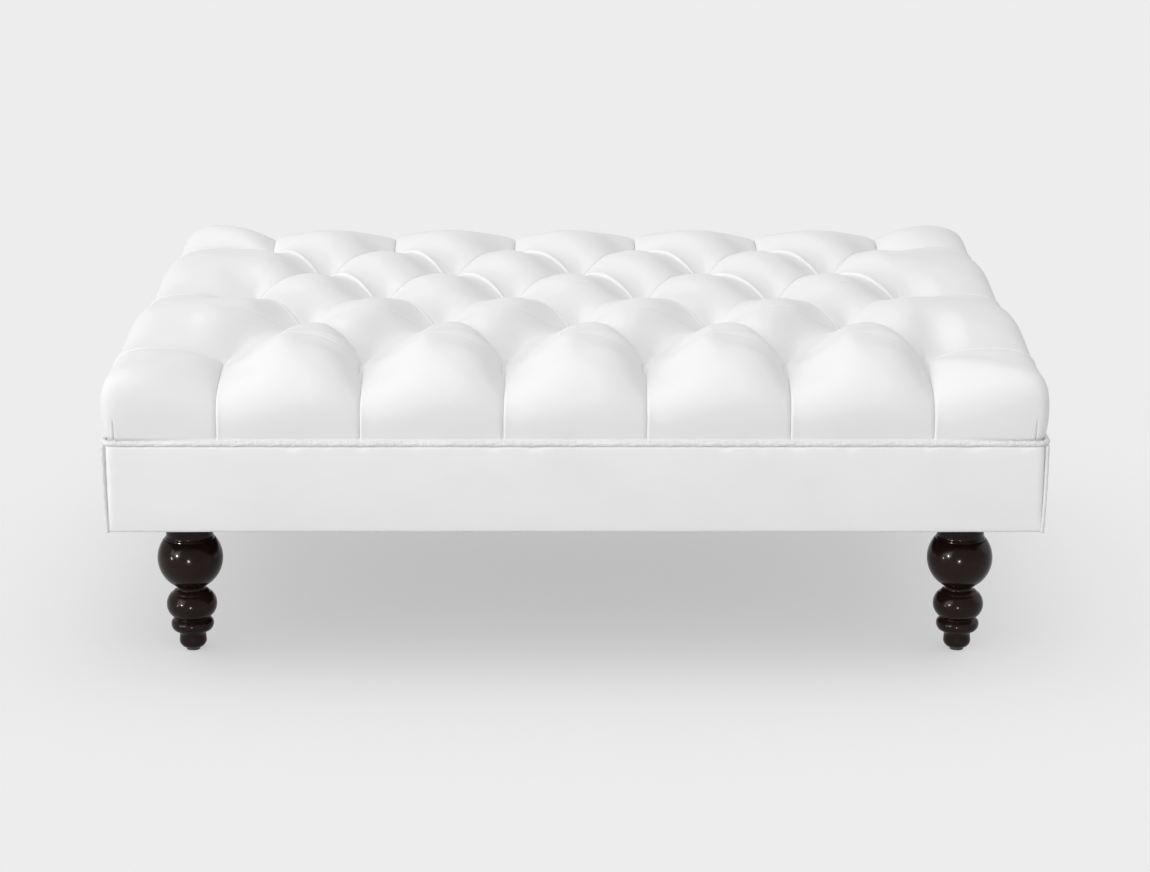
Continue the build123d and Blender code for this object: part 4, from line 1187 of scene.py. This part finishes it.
floorMesh = bpy.data.meshes.new("floor")
half = floorLook["size"] / 2
floorCorners = [(x * half, y * half, 0) for x, y in ((-1, -1), (1, -1), (1, 1), (-1, 1))]
floorMesh.from_pydata(floorCorners, [], [(0, 1, 2, 3)])
floor = bpy.data.objects.new("floor", floorMesh)
scene.collection.objects.link(floor)
floorMaterial = bpy.data.materials.new("paleFloor")
floorMaterial.use_nodes = True
tree = floorMaterial.node_tree
tree.nodes.clear()
output = addNode(tree, "ShaderNodeOutputMaterial")
matte = addNode(tree, "ShaderNodeBsdfDiffuse")
matte.inputs["Color"].default_value = (*floorLook["albedo"], 1)
glow = addNode(tree, "ShaderNodeEmission", Strength=floorLook["shade"])
mixed = addNode(tree, "ShaderNodeMixShader")
rays = addNode(tree, "ShaderNodeLightPath")
seen = mathNode(tree, "ADD", rays.outputs["Is Camera Ray"], rays.outputs["Is Glossy Ray"])
seen = mathNode(tree, "ADD", seen, rays.outputs["Is Transmission Ray"])
kept = mathNode(tree, "MULTIPLY", seen, floorLook["keptShare"], use_clamp=True)
tree.links.new(kept, mixed.inputs["Fac"])
tree.links.new(matte.outputs[0], mixed.inputs[1])
tree.links.new(glow.outputs[0], mixed.inputs[2])
tree.links.new(mixed.outputs[0], output.inputs["Surface"])
floorMesh.materials.append(floorMaterial)

# Light: an even sky, a large soft lamp from the upper left, and small lamps that show only in the lacquer
light = {
    "skyStrength": 0.66,
    "skyColour": (1.0, 1.0, 1.0),
    "keyPlace": (-8.39, -6.56, 6.04),
    "keySize": 7.0,
    "keyPowers": {"keyLamp": 570.0, "keyLampWithoutShadow": 240.0},
    "aim": (0.0, 0.0, 0.33),
    "glints": [
        ((-0.69, -0.68, 0.26), 0.30, 240.0),
        ((-0.87, -0.43, 0.07), 0.24, 55.0),
        ((-0.06, -0.955, 0.015), 0.26, 120.0),
        ((0.95, 0.30, 0.40), 5.5, 42.0),
    ],
    "glintDistance": 7.0,
    "glintFrom": (0.0, -0.345, 0.128),
}

world = bpy.data.worlds.new("studio")
scene.world = world
world.use_nodes = True
world.node_tree.nodes["Background"].inputs["Color"].default_value = (*light["skyColour"], 1)
world.node_tree.nodes["Background"].inputs["Strength"].default_value = light["skyStrength"]


def addLamp(name, place, aim, size, power, shape="SQUARE"):
    # an area lamp that faces its aim: tilted by the angle from straight down, and turned about the upright
    lamp = bpy.data.lights.new(name, "AREA")
    lamp.shape = shape
    lamp.size = size
    lamp.energy = power
    thing = bpy.data.objects.new(name, lamp)
    thing.location = place
    way = np.array(aim) - np.array(place)
    flat = math.hypot(way[0], way[1])
    thing.rotation_euler = (math.atan2(flat, -way[2]), 0, math.atan2(way[1], way[0]) - math.pi / 2)
    scene.collection.objects.link(thing)
    return thing


# the key is two lamps in one place: one casts no shadows, so that the folds stay as light as in the photograph.
# Both leave out the floor, where the shadow is the soft one of the sky
unlit = bpy.data.collections.new("leftToTheSky")
unlit.objects.link(floor)
unlit.collection_objects[0].light_linking.link_state = "EXCLUDE"
for name, power in light["keyPowers"].items():
    keyLamp = addLamp(name, light["keyPlace"], light["aim"], light["keySize"], power)
    keyLamp.data.use_shadow = name == "keyLamp"
    keyLamp.light_linking.receiver_collection = unlit
for number, (way, size, power) in enumerate(light["glints"]):
    place = np.array(light["glintFrom"]) + np.array(way) * light["glintDistance"]
    glint = addLamp(f"glintLamp{number + 1}", place, light["glintFrom"], size, power, "DISK")
    glint.visible_diffuse = False
print("floor and light made")
